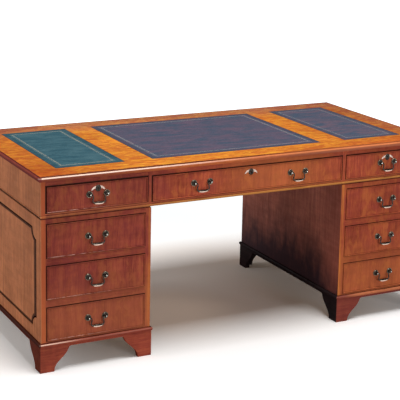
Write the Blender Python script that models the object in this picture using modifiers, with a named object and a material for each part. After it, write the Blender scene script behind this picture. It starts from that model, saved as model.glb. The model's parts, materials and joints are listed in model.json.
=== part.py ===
"""A veneered pedestal desk: a leather-topped writing surface with three frieze drawers,
standing on two pedestals of three drawers each.

Lengths are in metres, +Z is up, the drawers face -Y and the origin is on the floor
under the middle of the whole desk.
"""
import math

import bmesh
import bpy

# Clearances
SEAT_GAP = 0.0003          # between pieces that touch
DRAWER_GAP = 0.0015        # round a drawer front in its opening
BOX_SIDE_GAP = 0.0040      # drawer box to the edge of its opening, each side
OVERRUN = 0.010            # how far a cutter runs past what it cuts
SINK = 0.0010              # how far one shape reaches into the shape it is joined to
MERGE = 0.00001            # vertices closer than this are one vertex

# Whole desk
DESK_HEIGHT = 0.780
TOP_WIDTH = 1.830
TOP_DEPTH = 0.875
TOP_THICKNESS = 0.022
TOP_OVERHANG = 0.010       # top edge past the frieze, on all four sides
BOARD = 0.020              # thickness of the carcass boards and face frames

# Edge moulding of the top, from its underside up: (inset from the top's edge, height)
TOP_EDGE = (
    (0.0068, 0.0),
    (0.0068, 0.0016),
    (0.0040, 0.0030),
    (0.0016, 0.0056),
    (0.0003, 0.0090),
    (0.0000, 0.0120),
    (0.0008, 0.0148),
    (0.0028, 0.0172),
    (0.0056, 0.0184),
    (0.0072, 0.0178),
    (0.0078, 0.0208),
    (0.0090, TOP_THICKNESS),
)

# Writing surface
LEATHER_BORDER = 0.110     # veneer from the top's edge to the leather
LEATHER_SIDE_WIDTH = 0.290
LEATHER_SPACING = 0.120    # veneer between two leathers
LEATHER_THICKNESS = 0.0012
LEATHER_CLEARANCE = 0.0004

# Frieze
FRIEZE_HEIGHT = 0.142
FRIEZE_SILL = 0.0175       # rail under the frieze drawers
FRIEZE_TOP_RAIL = 0.020
STILE = 0.024              # upright at each end of a face frame
FRIEZE_DIVIDER = 0.020     # upright between two frieze drawers
DIVIDER_OVERHANG = 0.004   # how far a divider reaches over the kneehole
BEAD_HEIGHT = 0.009        # moulding along the foot of the frieze
BEAD_PROJECTION = 0.003
BEAD_STEPS = 4
DRAWER_BOARD = 0.012       # board that the frieze drawers run on
GUIDE_HEIGHT = 0.018

# Pedestals
PEDESTAL_WIDTH = 0.460
PLINTH_HEIGHT = 0.119
PEDESTAL_SILL = 0.0055     # rail under the lowest drawer
PEDESTAL_RAIL = 0.029      # rail between two drawers
PEDESTAL_TOP_RAIL = 0.024
DRAWER_LEVELS = ("lower", "middle", "upper")
CAP_THICKNESS = 0.014      # pedestal top board, inside the carcass
CAP_LIP = 0.004            # its lip, over the carcass boards
CAP_INSET = 0.003          # the lip stands back, so the joint shows as a dark line
FLOOR_BOARD = 0.016        # pedestal bottom board
RUNNER_WIDTH = 0.018
RUNNER_HEIGHT = 0.014

# Panel line with hollow corners, routed into the outer sides and the backs
PANEL_MARGIN = 0.050
PANEL_CORNER = 0.042
PANEL_GROOVE_RADIUS = 0.0042
PANEL_GROOVE_RESOLUTION = 1
PANEL_ARC_STEPS = 5

# Plinth, outside the carcass face: (projection, height below the plinth's top)
PLINTH_BOARD = 0.023
PLINTH_FACE = 0.005
PLINTH_MOULDING = (
    (0.0000, 0.0),
    (0.0034, 0.0006),
    (0.0066, 0.0026),
    (0.0086, 0.0056),
    (0.0092, 0.0090),
    (0.0086, 0.0122),
    (0.0070, 0.0146),
    (PLINTH_FACE, 0.0160),
)

# Bracket foot, from the corner of the plinth to the underside of its apron:
# shares of the foot's length along the plinth, and of the height under the apron
FOOT_LENGTH = 0.128
APRON_HEIGHT = 0.023
FOOT_OUTLINE_SHARES = (
    (0.453, 0.00),
    (0.469, 0.146),
    (0.500, 0.245),
    (0.547, 0.333),
    (0.656, 0.479),
    (0.773, 0.625),
    (0.859, 0.760),
    (0.914, 0.896),
    (0.945, 0.969),
    (1.000, 1.00),
)

# Drawers
FRONT_THICKNESS = 0.019
COCKBEAD = (               # (inset from the front's edge, height over its face)
    (0.0000, 0.0012),
    (0.0007, 0.0022),
    (0.0021, 0.0027),
    (0.0035, 0.0021),
    (0.0045, 0.0),
)
BOX_WALL = 0.012
BOX_BOTTOM = 0.006
BOX_BOTTOM_RAISE = 0.008   # underside of the bottom panel over the foot of the sides
BOX_LENGTH = 0.560
BOX_HEADROOM = 0.0260      # over the drawer box in its opening

# Swan-neck handles
BOSS_SPACING = 0.072
FRIEZE_BOSS_RISE = 0.0055  # bosses over the middle of a frieze drawer
PEDESTAL_BOSS_RISE = 0.0040
CENTRE_HANDLE_X = 0.223    # handles of the wide drawer, from its middle
POST_STEPS = 12
POST_PROFILE = (           # (radius, height over the drawer's face), tip first
    (0.0, 0.0176),
    (0.0034, 0.0170),
    (0.0053, 0.0152),
    (0.0060, 0.0124),
    (0.0054, 0.0098),
    (0.0038, 0.0076),
    (0.0036, 0.0054),
    (0.0064, 0.0036),
    (0.0118, 0.0028),
    (0.0135, 0.0010),
    (0.0135, -SINK),
    (0.0, -SINK),
)
HINGE_REACH = 0.0124       # bail axis over the drawer's face
PIN_RADIUS = 0.0017
PIN_CLEARANCE = 0.0004
SOCKET_DEPTH = 0.0048
SOCKET_SIDES = 8
BAIL_DROP = 0.0340         # bail axis to the middle of the grip
BAIL_SHOULDER = 0.0282     # where the bail leaves its pin, from its middle
GRIP_RADIUS = 0.0050
ARM_RADIUS = 0.0020
BAIL_SPAN_STEPS = 2
BAIL_RESOLUTION = 1
BAIL_PATH_SHARES = (       # shares of the shoulder and of the drop, from shoulder to middle
    (0.930, 0.05),
    (0.865, 0.17),
    (0.855, 0.34),
    (0.905, 0.54),
    (0.940, 0.73),
    (0.820, 0.90),
    (0.470, 0.985),
    (0.0, 1.0),
)

# Keyhole plates and locks of the frieze drawers
PLATE_HALF_WIDTH = 0.0295
PLATE_HALF_HEIGHT = 0.0135
PLATE_THICKNESS = 0.0018
PLATE_RISE = 0.0220        # middle of the plate over the bosses
PLATE_SPAN_STEPS = 2
PLATE_OUTLINE_SHARES = (   # right half, from the top round to the foot
    (0.0, 1.00),
    (0.17, 0.92),
    (0.34, 0.70),
    (0.58, 0.54),
    (0.82, 0.16),
    (1.00, -0.50),
    (0.84, -0.46),
    (0.62, -0.14),
    (0.44, -0.10),
    (0.37, -0.42),
    (0.24, -0.82),
    (0.0, -1.00),
)
KEYHOLE_RADIUS = 0.0030
KEYHOLE_SLOT_WIDTH = 0.0030
KEYHOLE_SLOT_DROP = 0.0085
KEYHOLE_STEPS = 8
LOCK_WIDTH = 0.050
LOCK_DEPTH = 0.011
LOCK_HEIGHT = 0.036
LOCK_CLEARANCE = 0.0005
KEY_REACH = 0.0035         # how far the keyhole enters the lock
BOLT_WIDTH = 0.0165
BOLT_DEPTH = 0.0045
BOLT_HEIGHT = 0.018
BOLT_CLEARANCE = 0.0005
BOLT_TRAVEL = 0.008
MORTISE_CLEARANCE = 0.0018

# Derived places
CARCASS_WIDTH = TOP_WIDTH - 2 * TOP_OVERHANG
CARCASS_DEPTH = TOP_DEPTH - 2 * TOP_OVERHANG
HANDLE_REACH = POST_PROFILE[0][1]
MIDDLE_Y = (HANDLE_REACH - TOP_OVERHANG) / 2   # the handles reach further than the top
FRONT_Y = MIDDLE_Y - CARCASS_DEPTH / 2
INNER_WIDTH = CARCASS_WIDTH - 2 * BOARD
INNER_DEPTH = CARCASS_DEPTH - 2 * BOARD
PEDESTAL_INNER_WIDTH = PEDESTAL_WIDTH - 2 * BOARD
PEDESTAL_X = (CARCASS_WIDTH - PEDESTAL_WIDTH) / 2
PEDESTAL_HEIGHT = DESK_HEIGHT - TOP_THICKNESS - FRIEZE_HEIGHT
FRIEZE_SILL_Z = PEDESTAL_HEIGHT + FRIEZE_SILL
FRIEZE_OPENING_HEIGHT = FRIEZE_HEIGHT - FRIEZE_SILL - FRIEZE_TOP_RAIL
OUTER_OPENING_WIDTH = PEDESTAL_WIDTH - STILE - FRIEZE_DIVIDER + DIVIDER_OVERHANG
DIVIDER_X = CARCASS_WIDTH / 2 - STILE - OUTER_OPENING_WIDTH - FRIEZE_DIVIDER / 2
OUTER_OPENING_X = CARCASS_WIDTH / 2 - STILE - OUTER_OPENING_WIDTH / 2
CENTRE_OPENING_WIDTH = 2 * DIVIDER_X - FRIEZE_DIVIDER
PEDESTAL_OPENING_WIDTH = PEDESTAL_WIDTH - 2 * STILE
FRONT_BAND = PEDESTAL_HEIGHT - PLINTH_HEIGHT - PEDESTAL_SILL - PEDESTAL_TOP_RAIL + PEDESTAL_RAIL
DRAWER_PITCH = FRONT_BAND / len(DRAWER_LEVELS)
PEDESTAL_OPENING_HEIGHT = DRAWER_PITCH - PEDESTAL_RAIL
FRIEZE_BOARD_HEIGHT = FRIEZE_HEIGHT - 2 * SEAT_GAP
FRIEZE_BOX_HEIGHT = FRIEZE_OPENING_HEIGHT - BOX_HEADROOM
PEDESTAL_BOX_HEIGHT = PEDESTAL_OPENING_HEIGHT - BOX_HEADROOM
SHELL_HEIGHT = PEDESTAL_HEIGHT - CAP_LIP - PLINTH_HEIGHT - 2 * SEAT_GAP
LEATHER_DEPTH = TOP_DEPTH - 2 * LEATHER_BORDER
LEATHER_SIDE_X = TOP_WIDTH / 2 - LEATHER_BORDER - LEATHER_SIDE_WIDTH / 2
LEATHER_CENTRE_WIDTH = 2 * (LEATHER_SIDE_X - LEATHER_SIDE_WIDTH / 2 - LEATHER_SPACING)

# Which way a board's face looks: rotation about +Z that turns a face from +X to it
FACING = {"front": -math.pi / 2, "left": math.pi, "back": math.pi / 2, "right": 0.0}

MATERIALS = {
    "top_veneer": ((0.70, 0.24, 0.035), 0.28, 0.0),
    "front_veneer": ((0.27, 0.055, 0.025), 0.30, 0.0),
    "side_veneer": ((0.30, 0.13, 0.055), 0.34, 0.0),
    "drawer_lining": ((0.55, 0.38, 0.20), 0.60, 0.0),
    "teal_leather": ((0.045, 0.10, 0.12), 0.50, 0.0),
    "purple_leather": ((0.085, 0.070, 0.115), 0.50, 0.0),
    "antique_brass": ((0.32, 0.25, 0.14), 0.35, 1.0),
    "lock_brass": ((0.50, 0.38, 0.18), 0.40, 1.0),
}


# Scene set-up

def clear_scene():
    for item in list(bpy.data.objects):
        bpy.data.objects.remove(item)


def make_collection(name):
    collection = bpy.data.collections.new(name)
    bpy.context.scene.collection.children.link(collection)
    return collection


def make_material(name):
    colour, roughness, metallic = MATERIALS[name]
    material = bpy.data.materials.new(name)
    material.use_nodes = True
    shader = material.node_tree.nodes["Principled BSDF"]
    shader.inputs["Base Color"].default_value = (*colour, 1.0)
    shader.inputs["Roughness"].default_value = roughness
    shader.inputs["Metallic"].default_value = metallic
    return material


clear_scene()
PARTS = make_collection("pedestal_desk")
CUTTERS = make_collection("cutters")
LOOKS = {name: make_material(name) for name in MATERIALS}


def place(name, mesh, look=None, location=(0, 0, 0), rotation=(0, 0, 0), parent=None):
    """A part, or a cutter where it has no look."""
    item = bpy.data.objects.new(name, mesh)
    item.location = location
    item.rotation_euler = rotation
    item.parent = parent
    if look:
        mesh.materials.clear()
        mesh.materials.append(LOOKS[look])
        PARTS.objects.link(item)
    else:
        CUTTERS.objects.link(item)
        item.hide_render = True
        item.display_type = "WIRE"
    return item


def empty(name, location):
    item = bpy.data.objects.new(name, None)
    item.location = location
    PARTS.objects.link(item)
    return item


def combine(target, tool, operation):
    modifier = target.modifiers.new(operation.lower(), "BOOLEAN")
    modifier.operation = operation
    modifier.object = tool
    modifier.solver = "EXACT"
    modifier.material_mode = "TRANSFER"


def cut(target, tool):
    combine(target, tool, "DIFFERENCE")


def join(target, tool):
    combine(target, tool, "UNION")


# Shapes

def finish_mesh(bm, name):
    bmesh.ops.recalc_face_normals(bm, faces=bm.faces)
    mesh = bpy.data.meshes.new(name)
    bm.to_mesh(mesh)
    bm.free()
    return mesh


def block_mesh(name, size):
    bm = bmesh.new()
    bmesh.ops.create_cube(bm, size=1)
    bmesh.ops.scale(bm, vec=size, verts=bm.verts)
    return finish_mesh(bm, name)


def block(name, low, high, look=None, parent=None):
    """A box between two corners, given in the frame of its parent."""
    size = [b - a for a, b in zip(low, high)]
    middle = [(a + b) / 2 for a, b in zip(low, high)]
    return place(name, block_mesh(name, size), look, middle, parent=parent)


def smooth_points(points, steps, closed=False):
    """Points on a smooth curve through the given ones, steps to each span."""
    count = len(points)
    spans = count if closed else count - 1
    result = []
    for i in range(spans):
        if closed:
            a, b, c, d = (points[(i + k) % count] for k in (-1, 0, 1, 2))
        else:
            a, b, c, d = (points[min(max(i + k, 0), count - 1)] for k in (-1, 0, 1, 2))
        for step in range(steps):
            t = step / steps
            result.append(tuple(
                0.5 * (2 * q + (r - p) * t + (2 * p - 5 * q + 4 * r - s) * t * t
                       + (3 * q - p - 3 * r + s) * t ** 3)
                for p, q, r, s in zip(a, b, c, d)))
    if not closed:
        result.append(tuple(points[-1]))
    return result


def arc(centre, radius, start, end, steps):
    return [
        (centre[0] + radius * math.cos(start + (end - start) * i / steps),
         centre[1] + radius * math.sin(start + (end - start) * i / steps))
        for i in range(steps + 1)
    ]


def curve_to_mesh(name, curve):
    """The curve's evaluated surface as a mesh with its caps welded on."""
    item = bpy.data.objects.new(name, curve)
    CUTTERS.objects.link(item)
    bpy.context.view_layer.update()
    evaluated = item.evaluated_get(bpy.context.evaluated_depsgraph_get())
    mesh = bpy.data.meshes.new_from_object(evaluated)
    mesh.name = name
    bpy.data.objects.remove(item)
    bpy.data.curves.remove(curve)
    bm = bmesh.new()
    bm.from_mesh(mesh)
    bmesh.ops.remove_doubles(bm, verts=bm.verts, dist=MERGE)
    bmesh.ops.recalc_face_normals(bm, faces=bm.faces)
    bm.to_mesh(mesh)
    bm.free()
    return mesh


def outline_mesh(name, points, thickness):
    """A flat outline in local XY, thickened both ways along local Z."""
    curve = bpy.data.curves.new(name, "CURVE")
    curve.dimensions = "2D"
    curve.fill_mode = "BOTH"
    curve.extrude = thickness / 2
    spline = curve.splines.new("POLY")
    spline.points.add(len(points) - 1)
    for point, (x, y) in zip(spline.points, points):
        point.co = (x, y, 0, 1)
    spline.use_cyclic_u = True
    return curve_to_mesh(name, curve)


def rod_mesh(name, points, radii, resolution, cyclic=False):
    """A round rod along the points."""
    curve = bpy.data.curves.new(name, "CURVE")
    curve.dimensions = "3D"
    curve.bevel_depth = 1
    curve.bevel_resolution = resolution
    curve.use_fill_caps = not cyclic
    spline = curve.splines.new("POLY")
    spline.points.add(len(points) - 1)
    for point, place_on, radius in zip(spline.points, points, radii):
        point.co = (*place_on, 1)
        point.radius = radius
    spline.use_cyclic_u = cyclic
    mesh = curve_to_mesh(name, curve)
    mesh.shade_smooth()
    return mesh


def mitred_board_mesh(name, outline, length):
    """A board whose section is outline, as (outward, up), mitred at both ends.

    Outward 0 is the carcass face, where the board is as long as the carcass."""
    mesh = outline_mesh(name, outline, length)
    mitre_gap = SEAT_GAP / math.sqrt(2)
    for vertex in mesh.vertices:
        end = math.copysign(1, vertex.co.z)
        vertex.co.z += end * (vertex.co.x - mitre_gap)
    return mesh


def mitred_board(name, side, outline, length, centre, reach, foot_z, look):
    """A mitred board on one side of a carcass whose faces lie at reach from centre."""
    angle = FACING[side]
    location = (centre[0] + reach * math.cos(angle), centre[1] + reach * math.sin(angle), foot_z)
    mesh = mitred_board_mesh(name, outline, length)
    return place(name, mesh, look, location, (math.pi / 2, 0, angle))


def stepped_slab_mesh(name, width, depth, steps):
    """A slab whose edge follows steps, as (inset, height), from its underside up."""
    bm = bmesh.new()
    bmesh.ops.create_cube(bm, size=2)

    def lay(verts, step):
        inset, height = step
        for vert in verts:
            vert.co = (math.copysign(width / 2 - inset, vert.co.x),
                       math.copysign(depth / 2 - inset, vert.co.y), height)

    lower = [v for v in bm.verts if v.co.z < 0]
    upper = [v for v in bm.verts if v.co.z > 0]
    top = next(f for f in bm.faces if all(v in upper for v in f.verts))
    lay(lower, steps[0])
    lay(upper, steps[1])
    for step in steps[2:]:
        made = bmesh.ops.extrude_face_region(bm, geom=[top])["geom"]
        bmesh.ops.delete(bm, geom=[top], context="FACES_ONLY")
        top = next(g for g in made if isinstance(g, bmesh.types.BMFace))
        lay(top.verts, step)
    return finish_mesh(bm, name)


def frame_mesh(name, outline, width, depth):
    """A quarter of a rectangular frame whose section is outline, as (outward, up).

    Mirror modifiers make the other three quarters."""
    bm = bmesh.new()
    sections = []
    for at_x, at_y in ((0, 1), (1, 1), (1, 0)):
        sections.append([
            bm.verts.new((at_x * (width / 2 + out), at_y * (depth / 2 + out), up))
            for out, up in outline])
    for first, second in zip(sections, sections[1:]):
        for i in range(len(outline)):
            j = (i + 1) % len(outline)
            bm.faces.new((first[i], first[j], second[j], second[i]))
    return finish_mesh(bm, name)


def mirrored(item):
    modifier = item.modifiers.new("mirror", "MIRROR")
    modifier.use_axis = (True, True, False)
    modifier.merge_threshold = MERGE
    return item


def turned_mesh_profile(name, profile):
    mesh = bpy.data.meshes.new(name)
    points = [(radius, 0, height) for radius, height in profile]
    edges = [(i, i + 1) for i in range(len(points) - 1)]
    mesh.from_pydata(points, edges, [])
    return mesh


def turn(item, steps):
    modifier = item.modifiers.new("turn", "SCREW")
    modifier.steps = steps
    modifier.render_steps = steps
    modifier.use_merge_vertices = True
    modifier.merge_threshold = MERGE
    modifier.use_smooth_shade = True
    return item


# Top and leathers

def make_top():
    height = DESK_HEIGHT - TOP_THICKNESS
    mesh = stepped_slab_mesh("top_board", TOP_WIDTH, TOP_DEPTH, TOP_EDGE)
    top = place("top_board", mesh, "top_veneer", (0, MIDDLE_Y, height))
    leathers = (
        ("leather_left", -LEATHER_SIDE_X, LEATHER_SIDE_WIDTH, "teal_leather"),
        ("leather_centre", 0, LEATHER_CENTRE_WIDTH, "purple_leather"),
        ("leather_right", LEATHER_SIDE_X, LEATHER_SIDE_WIDTH, "purple_leather"),
    )
    for name, x, width, look in leathers:
        foot = DESK_HEIGHT - LEATHER_THICKNESS
        low = (x - width / 2, MIDDLE_Y - LEATHER_DEPTH / 2)
        high = (x + width / 2, MIDDLE_Y + LEATHER_DEPTH / 2)
        block(name, (*low, foot), (*high, DESK_HEIGHT), look)
        recess_low = [value - LEATHER_CLEARANCE for value in low]
        recess_high = [value + LEATHER_CLEARANCE for value in high]
        recess = block(name + "_recess", (*recess_low, foot - SEAT_GAP),
                       (*recess_high, DESK_HEIGHT + OVERRUN))
        cut(top, recess)


# Frieze

def frieze_outline():
    """Section of a frieze board, with the half-round bead along its foot."""
    bead = [
        (BEAD_PROJECTION * math.sin(math.pi * i / BEAD_STEPS), BEAD_HEIGHT * i / BEAD_STEPS)
        for i in range(BEAD_STEPS + 1)
    ]
    return [(-BOARD, 0), *bead, (0, FRIEZE_BOARD_HEIGHT), (-BOARD, FRIEZE_BOARD_HEIGHT)]


def frieze_openings():
    """Each frieze drawer's name, middle and width."""
    return (
        ("frieze_left", -OUTER_OPENING_X, OUTER_OPENING_WIDTH),
        ("frieze_centre", 0, CENTRE_OPENING_WIDTH),
        ("frieze_right", OUTER_OPENING_X, OUTER_OPENING_WIDTH),
    )


def make_frieze():
    foot = PEDESTAL_HEIGHT + SEAT_GAP
    outline = frieze_outline()
    boards = (
        ("frieze_front_frame", "front", CARCASS_WIDTH, CARCASS_DEPTH / 2, "front_veneer"),
        ("frieze_back", "back", CARCASS_WIDTH, CARCASS_DEPTH / 2, "side_veneer"),
        ("frieze_side_left", "left", CARCASS_DEPTH, CARCASS_WIDTH / 2, "side_veneer"),
        ("frieze_side_right", "right", CARCASS_DEPTH, CARCASS_WIDTH / 2, "side_veneer"),
    )
    made = {
        name: mitred_board(name, side, outline, length, (0, MIDDLE_Y), reach, foot, look)
        for name, side, length, reach, look in boards
    }
    front = made["frieze_front_frame"]
    for name, x, width in frieze_openings():
        opening = block(
            name + "_opening",
            (x - width / 2, FRONT_Y - OVERRUN, FRIEZE_SILL_Z),
            (x + width / 2, FRONT_Y + BOARD + OVERRUN, FRIEZE_SILL_Z + FRIEZE_OPENING_HEIGHT))
        cut(front, opening)
        mortise_half = (BOLT_WIDTH + MORTISE_CLEARANCE) / 2
        mortise_depth = (BOLT_DEPTH + MORTISE_CLEARANCE) / 2
        top_z = FRIEZE_SILL_Z + FRIEZE_OPENING_HEIGHT
        bolt_y = lock_middle_y()
        mortise = block(
            name + "_mortise",
            (x - mortise_half, bolt_y - mortise_depth, top_z - SINK),
            (x + mortise_half, bolt_y + mortise_depth, top_z + BOLT_TRAVEL + MORTISE_CLEARANCE))
        cut(front, mortise)
    make_drawer_board()


def make_drawer_board():
    """The board under the frieze drawers, with a guide strip behind each divider."""
    half_x = INNER_WIDTH / 2 - SEAT_GAP
    half_y = INNER_DEPTH / 2 - SEAT_GAP
    low = (-half_x, MIDDLE_Y - half_y, FRIEZE_SILL_Z - DRAWER_BOARD)
    high = (half_x, MIDDLE_Y + half_y, FRIEZE_SILL_Z)
    board = block("frieze_drawer_board", low, high, "drawer_lining")
    for side, x in (("left", -DIVIDER_X), ("right", DIVIDER_X)):
        guide = block(
            "guide_" + side,
            (x - FRIEZE_DIVIDER / 2, MIDDLE_Y - half_y, FRIEZE_SILL_Z - SINK),
            (x + FRIEZE_DIVIDER / 2, MIDDLE_Y + half_y, FRIEZE_SILL_Z + GUIDE_HEIGHT))
        join(board, guide)


# Pedestals

def panel_outline(width, height):
    """A rectangle whose corners are hollow quarter circles."""
    corners = (
        ((width / 2, height / 2), math.pi * 1.5, math.pi),
        ((-width / 2, height / 2), 0.0, -math.pi / 2),
        ((-width / 2, -height / 2), math.pi / 2, 0.0),
        ((width / 2, -height / 2), math.pi, math.pi / 2),
    )
    points = []
    for centre, start, end in corners:
        points += arc(centre, PANEL_CORNER, start, end, PANEL_ARC_STEPS)
    return points


def rout_panel(board, side, length, centre, reach):
    """Cuts the panel line into the outer face of a pedestal board."""
    angle = FACING[side]
    outline = panel_outline(length - 2 * PANEL_MARGIN, SHELL_HEIGHT - 2 * PANEL_MARGIN)
    points = [(0, up, along) for along, up in outline]
    mesh = rod_mesh(board.name + "_groove", points, [PANEL_GROOVE_RADIUS] * len(points),
                    PANEL_GROOVE_RESOLUTION, cyclic=True)
    middle_z = PLINTH_HEIGHT + SEAT_GAP + SHELL_HEIGHT / 2
    location = (centre[0] + reach * math.cos(angle), centre[1] + reach * math.sin(angle), middle_z)
    groove = place(mesh.name, mesh, None, location, (math.pi / 2, 0, angle))
    cut(board, groove)


def sill_heights():
    """Foot of each drawer opening of a pedestal, from the lowest up."""
    lowest = PLINTH_HEIGHT + PEDESTAL_SILL
    return [lowest + i * DRAWER_PITCH for i in range(len(DRAWER_LEVELS))]


def add_runners(board, inner_x, inward, name):
    """Strips that the upper drawers run on; the lowest one runs on the bottom board."""
    for number, sill in enumerate(sill_heights()[1:]):
        edges = sorted((inner_x - inward * SINK, inner_x + inward * RUNNER_WIDTH))
        runner = block(
            "%s_runner_%d" % (name, number),
            (edges[0], FRONT_Y + BOARD + SEAT_GAP, sill - RUNNER_HEIGHT),
            (edges[1], FRONT_Y + CARCASS_DEPTH - BOARD - SEAT_GAP, sill))
        join(board, runner)


def make_pedestal(name, x, outer):
    """One pedestal, its middle at x; outer is the side that faces away from the kneehole."""
    centre = (x, MIDDLE_Y)
    foot = PLINTH_HEIGHT + SEAT_GAP
    outline = [(-BOARD, 0), (0, 0), (0, SHELL_HEIGHT), (-BOARD, SHELL_HEIGHT)]
    inner = "right" if outer == "left" else "left"
    outward = -1 if outer == "left" else 1
    half_width = PEDESTAL_WIDTH / 2
    half_depth = CARCASS_DEPTH / 2

    front = mitred_board(name + "_front_frame", "front", outline, PEDESTAL_WIDTH, centre,
                         half_depth, foot, "front_veneer")
    for number, sill in enumerate(sill_heights()):
        opening = block(
            "%s_opening_%d" % (name, number),
            (x - PEDESTAL_OPENING_WIDTH / 2, FRONT_Y - OVERRUN, sill),
            (x + PEDESTAL_OPENING_WIDTH / 2, FRONT_Y + BOARD + OVERRUN,
             sill + PEDESTAL_OPENING_HEIGHT))
        cut(front, opening)

    back = mitred_board(name + "_back", "back", outline, PEDESTAL_WIDTH, centre,
                        half_depth, foot, "side_veneer")
    rout_panel(back, "back", PEDESTAL_WIDTH, centre, half_depth)

    outer_side = mitred_board(name + "_outer_side", outer, outline, CARCASS_DEPTH, centre,
                              half_width, foot, "side_veneer")
    rout_panel(outer_side, outer, CARCASS_DEPTH, centre, half_width)
    outer_x = x + outward * (half_width - BOARD)
    add_runners(outer_side, outer_x, -outward, name + "_outer")

    inner_side = mitred_board(name + "_inner_side", inner, outline, CARCASS_DEPTH, centre,
                              half_width, foot, "side_veneer")
    inner_x = x - outward * (half_width - BOARD)
    add_runners(inner_side, inner_x, outward, name + "_inner")

    make_pedestal_boards(name, centre)
    make_plinth(name, centre)


def make_pedestal_boards(name, centre):
    """The lipped top board and the bottom board, inside the carcass boards."""
    recess = BOARD + SEAT_GAP
    cap_steps = (
        (recess, 0.0),
        (recess, CAP_THICKNESS),
        (CAP_INSET, CAP_THICKNESS),
        (CAP_INSET, CAP_THICKNESS + CAP_LIP),
    )
    mesh = stepped_slab_mesh(name + "_top", PEDESTAL_WIDTH, CARCASS_DEPTH, cap_steps)
    cap_z = PEDESTAL_HEIGHT - CAP_THICKNESS - CAP_LIP
    place(name + "_top", mesh, "side_veneer", (*centre, cap_z))

    half_x = PEDESTAL_INNER_WIDTH / 2 - SEAT_GAP
    half_y = INNER_DEPTH / 2 - SEAT_GAP
    top_z = sill_heights()[0]
    block(name + "_bottom", (centre[0] - half_x, centre[1] - half_y, top_z - FLOOR_BOARD),
          (centre[0] + half_x, centre[1] + half_y, top_z), "drawer_lining")


def arch_outline(length):
    """The space between two bracket feet of a plinth side of this length, from below."""
    apron_z = PLINTH_HEIGHT - APRON_HEIGHT
    half = length / 2 + PLINTH_FACE
    right = [(half - along * FOOT_LENGTH, up * apron_z) for along, up in FOOT_OUTLINE_SHARES]
    left = [(-along, up) for along, up in reversed(right)]
    return [(right[0][0], -OVERRUN), *right, *left, (left[-1][0], -OVERRUN)]


def make_plinth(name, centre):
    moulding = [(out, PLINTH_HEIGHT - down) for out, down in PLINTH_MOULDING]
    inner = PLINTH_FACE - PLINTH_BOARD
    outline = [(inner, PLINTH_HEIGHT), *moulding, (PLINTH_FACE, 0), (inner, 0)]
    mesh = frame_mesh(name + "_plinth", outline, PEDESTAL_WIDTH, CARCASS_DEPTH)
    plinth = mirrored(place(name + "_plinth", mesh, "front_veneer", (*centre, 0)))
    arches = (
        ("arch_front_back", PEDESTAL_WIDTH, CARCASS_DEPTH, 0),
        ("arch_sides", CARCASS_DEPTH, PEDESTAL_WIDTH, math.pi / 2),
    )
    for label, length, through, angle in arches:
        reach = through + 2 * (PLINTH_FACE + OVERRUN)
        cutter_mesh = outline_mesh(name + "_" + label, arch_outline(length), reach)
        cutter = place(cutter_mesh.name, cutter_mesh, None, (*centre, 0), (math.pi / 2, 0, angle))
        cut(plinth, cutter)


# Handles

def post_and_sockets(front, name, handle_xs, boss_z, parent):
    """Joins a pair of posts to a drawer front at each handle and drills their sockets."""
    for number, handle_x in enumerate(handle_xs):
        for side in (-1, 1):
            post_x = handle_x + side * BOSS_SPACING / 2
            mesh = turned_mesh_profile("%s_post_%d_%d" % (name, number, side), POST_PROFILE)
            mesh.materials.append(LOOKS["antique_brass"])
            post = place(mesh.name, mesh, None, (post_x, 0, boss_z), (math.pi / 2, 0, 0), parent)
            turn(post, POST_STEPS)
            join(front, post)
            bottom_x = socket_bottom()
            mouth_x = BAIL_SHOULDER
            length = bottom_x - mouth_x
            drill_mesh = cylinder_mesh(mesh.name + "_drill", PIN_RADIUS + PIN_CLEARANCE, length)
            drill_x = handle_x + side * (mouth_x + bottom_x) / 2
            drill = place(drill_mesh.name, drill_mesh, None,
                          (drill_x, -HINGE_REACH, boss_z), (0, math.pi / 2, 0), parent)
            cut(front, drill)


def post_radius():
    return max(radius for radius, height in POST_PROFILE if height > HINGE_REACH / 2)


def socket_bottom():
    """Bottom of a pin socket, from the middle of the handle."""
    return BOSS_SPACING / 2 - post_radius() + SOCKET_DEPTH


def cylinder_mesh(name, radius, length):
    bm = bmesh.new()
    bmesh.ops.create_cone(bm, cap_ends=True, segments=SOCKET_SIDES, radius1=radius,
                          radius2=radius, depth=length)
    return finish_mesh(bm, name)


def make_bail(name, x, z, parent):
    """The swinging handle; its origin is on its hinge axis, midway between the posts."""
    arm = [(along * BAIL_SHOULDER, -down * BAIL_DROP) for along, down in BAIL_PATH_SHARES]
    pin_end = (socket_bottom() - SEAT_GAP, 0.0)
    half = smooth_points([(BAIL_SHOULDER, 0.0), *arm], BAIL_SPAN_STEPS)
    right = [pin_end, *half]
    left = [(-px, pz) for px, pz in reversed(right[:-1])]
    path = [(px, 0, pz) for px, pz in right + left]
    radii = [bail_radius(px, pz) for px, pz in right + left]
    mesh = rod_mesh(name, path, radii, BAIL_RESOLUTION)
    return place(name, mesh, "antique_brass", (x, -HINGE_REACH, z), parent=parent)


def bail_radius(px, pz):
    """Thin at the pins, thickest in the middle of the grip."""
    if pz == 0:
        return PIN_RADIUS
    across = abs(px) / BAIL_SHOULDER
    grip = max(0.0, 1 - across * across) * (-pz / BAIL_DROP)
    return ARM_RADIUS + (GRIP_RADIUS - ARM_RADIUS) * grip


# Keyhole plates and locks

def lock_middle_y():
    """Middle of a frieze lock's thickness; the lock is let into the back of the front."""
    return FRONT_Y + FRONT_THICKNESS - LOCK_DEPTH / 2


def keyhole_outline():
    """A round hole over a straight slot."""
    half_slot = KEYHOLE_SLOT_WIDTH / 2
    start = math.asin(half_slot / KEYHOLE_RADIUS) - math.pi / 2
    round_part = arc((0, 0), KEYHOLE_RADIUS, start, math.pi - start, KEYHOLE_STEPS)
    return [*round_part, (-half_slot, -KEYHOLE_SLOT_DROP), (half_slot, -KEYHOLE_SLOT_DROP)]


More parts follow.
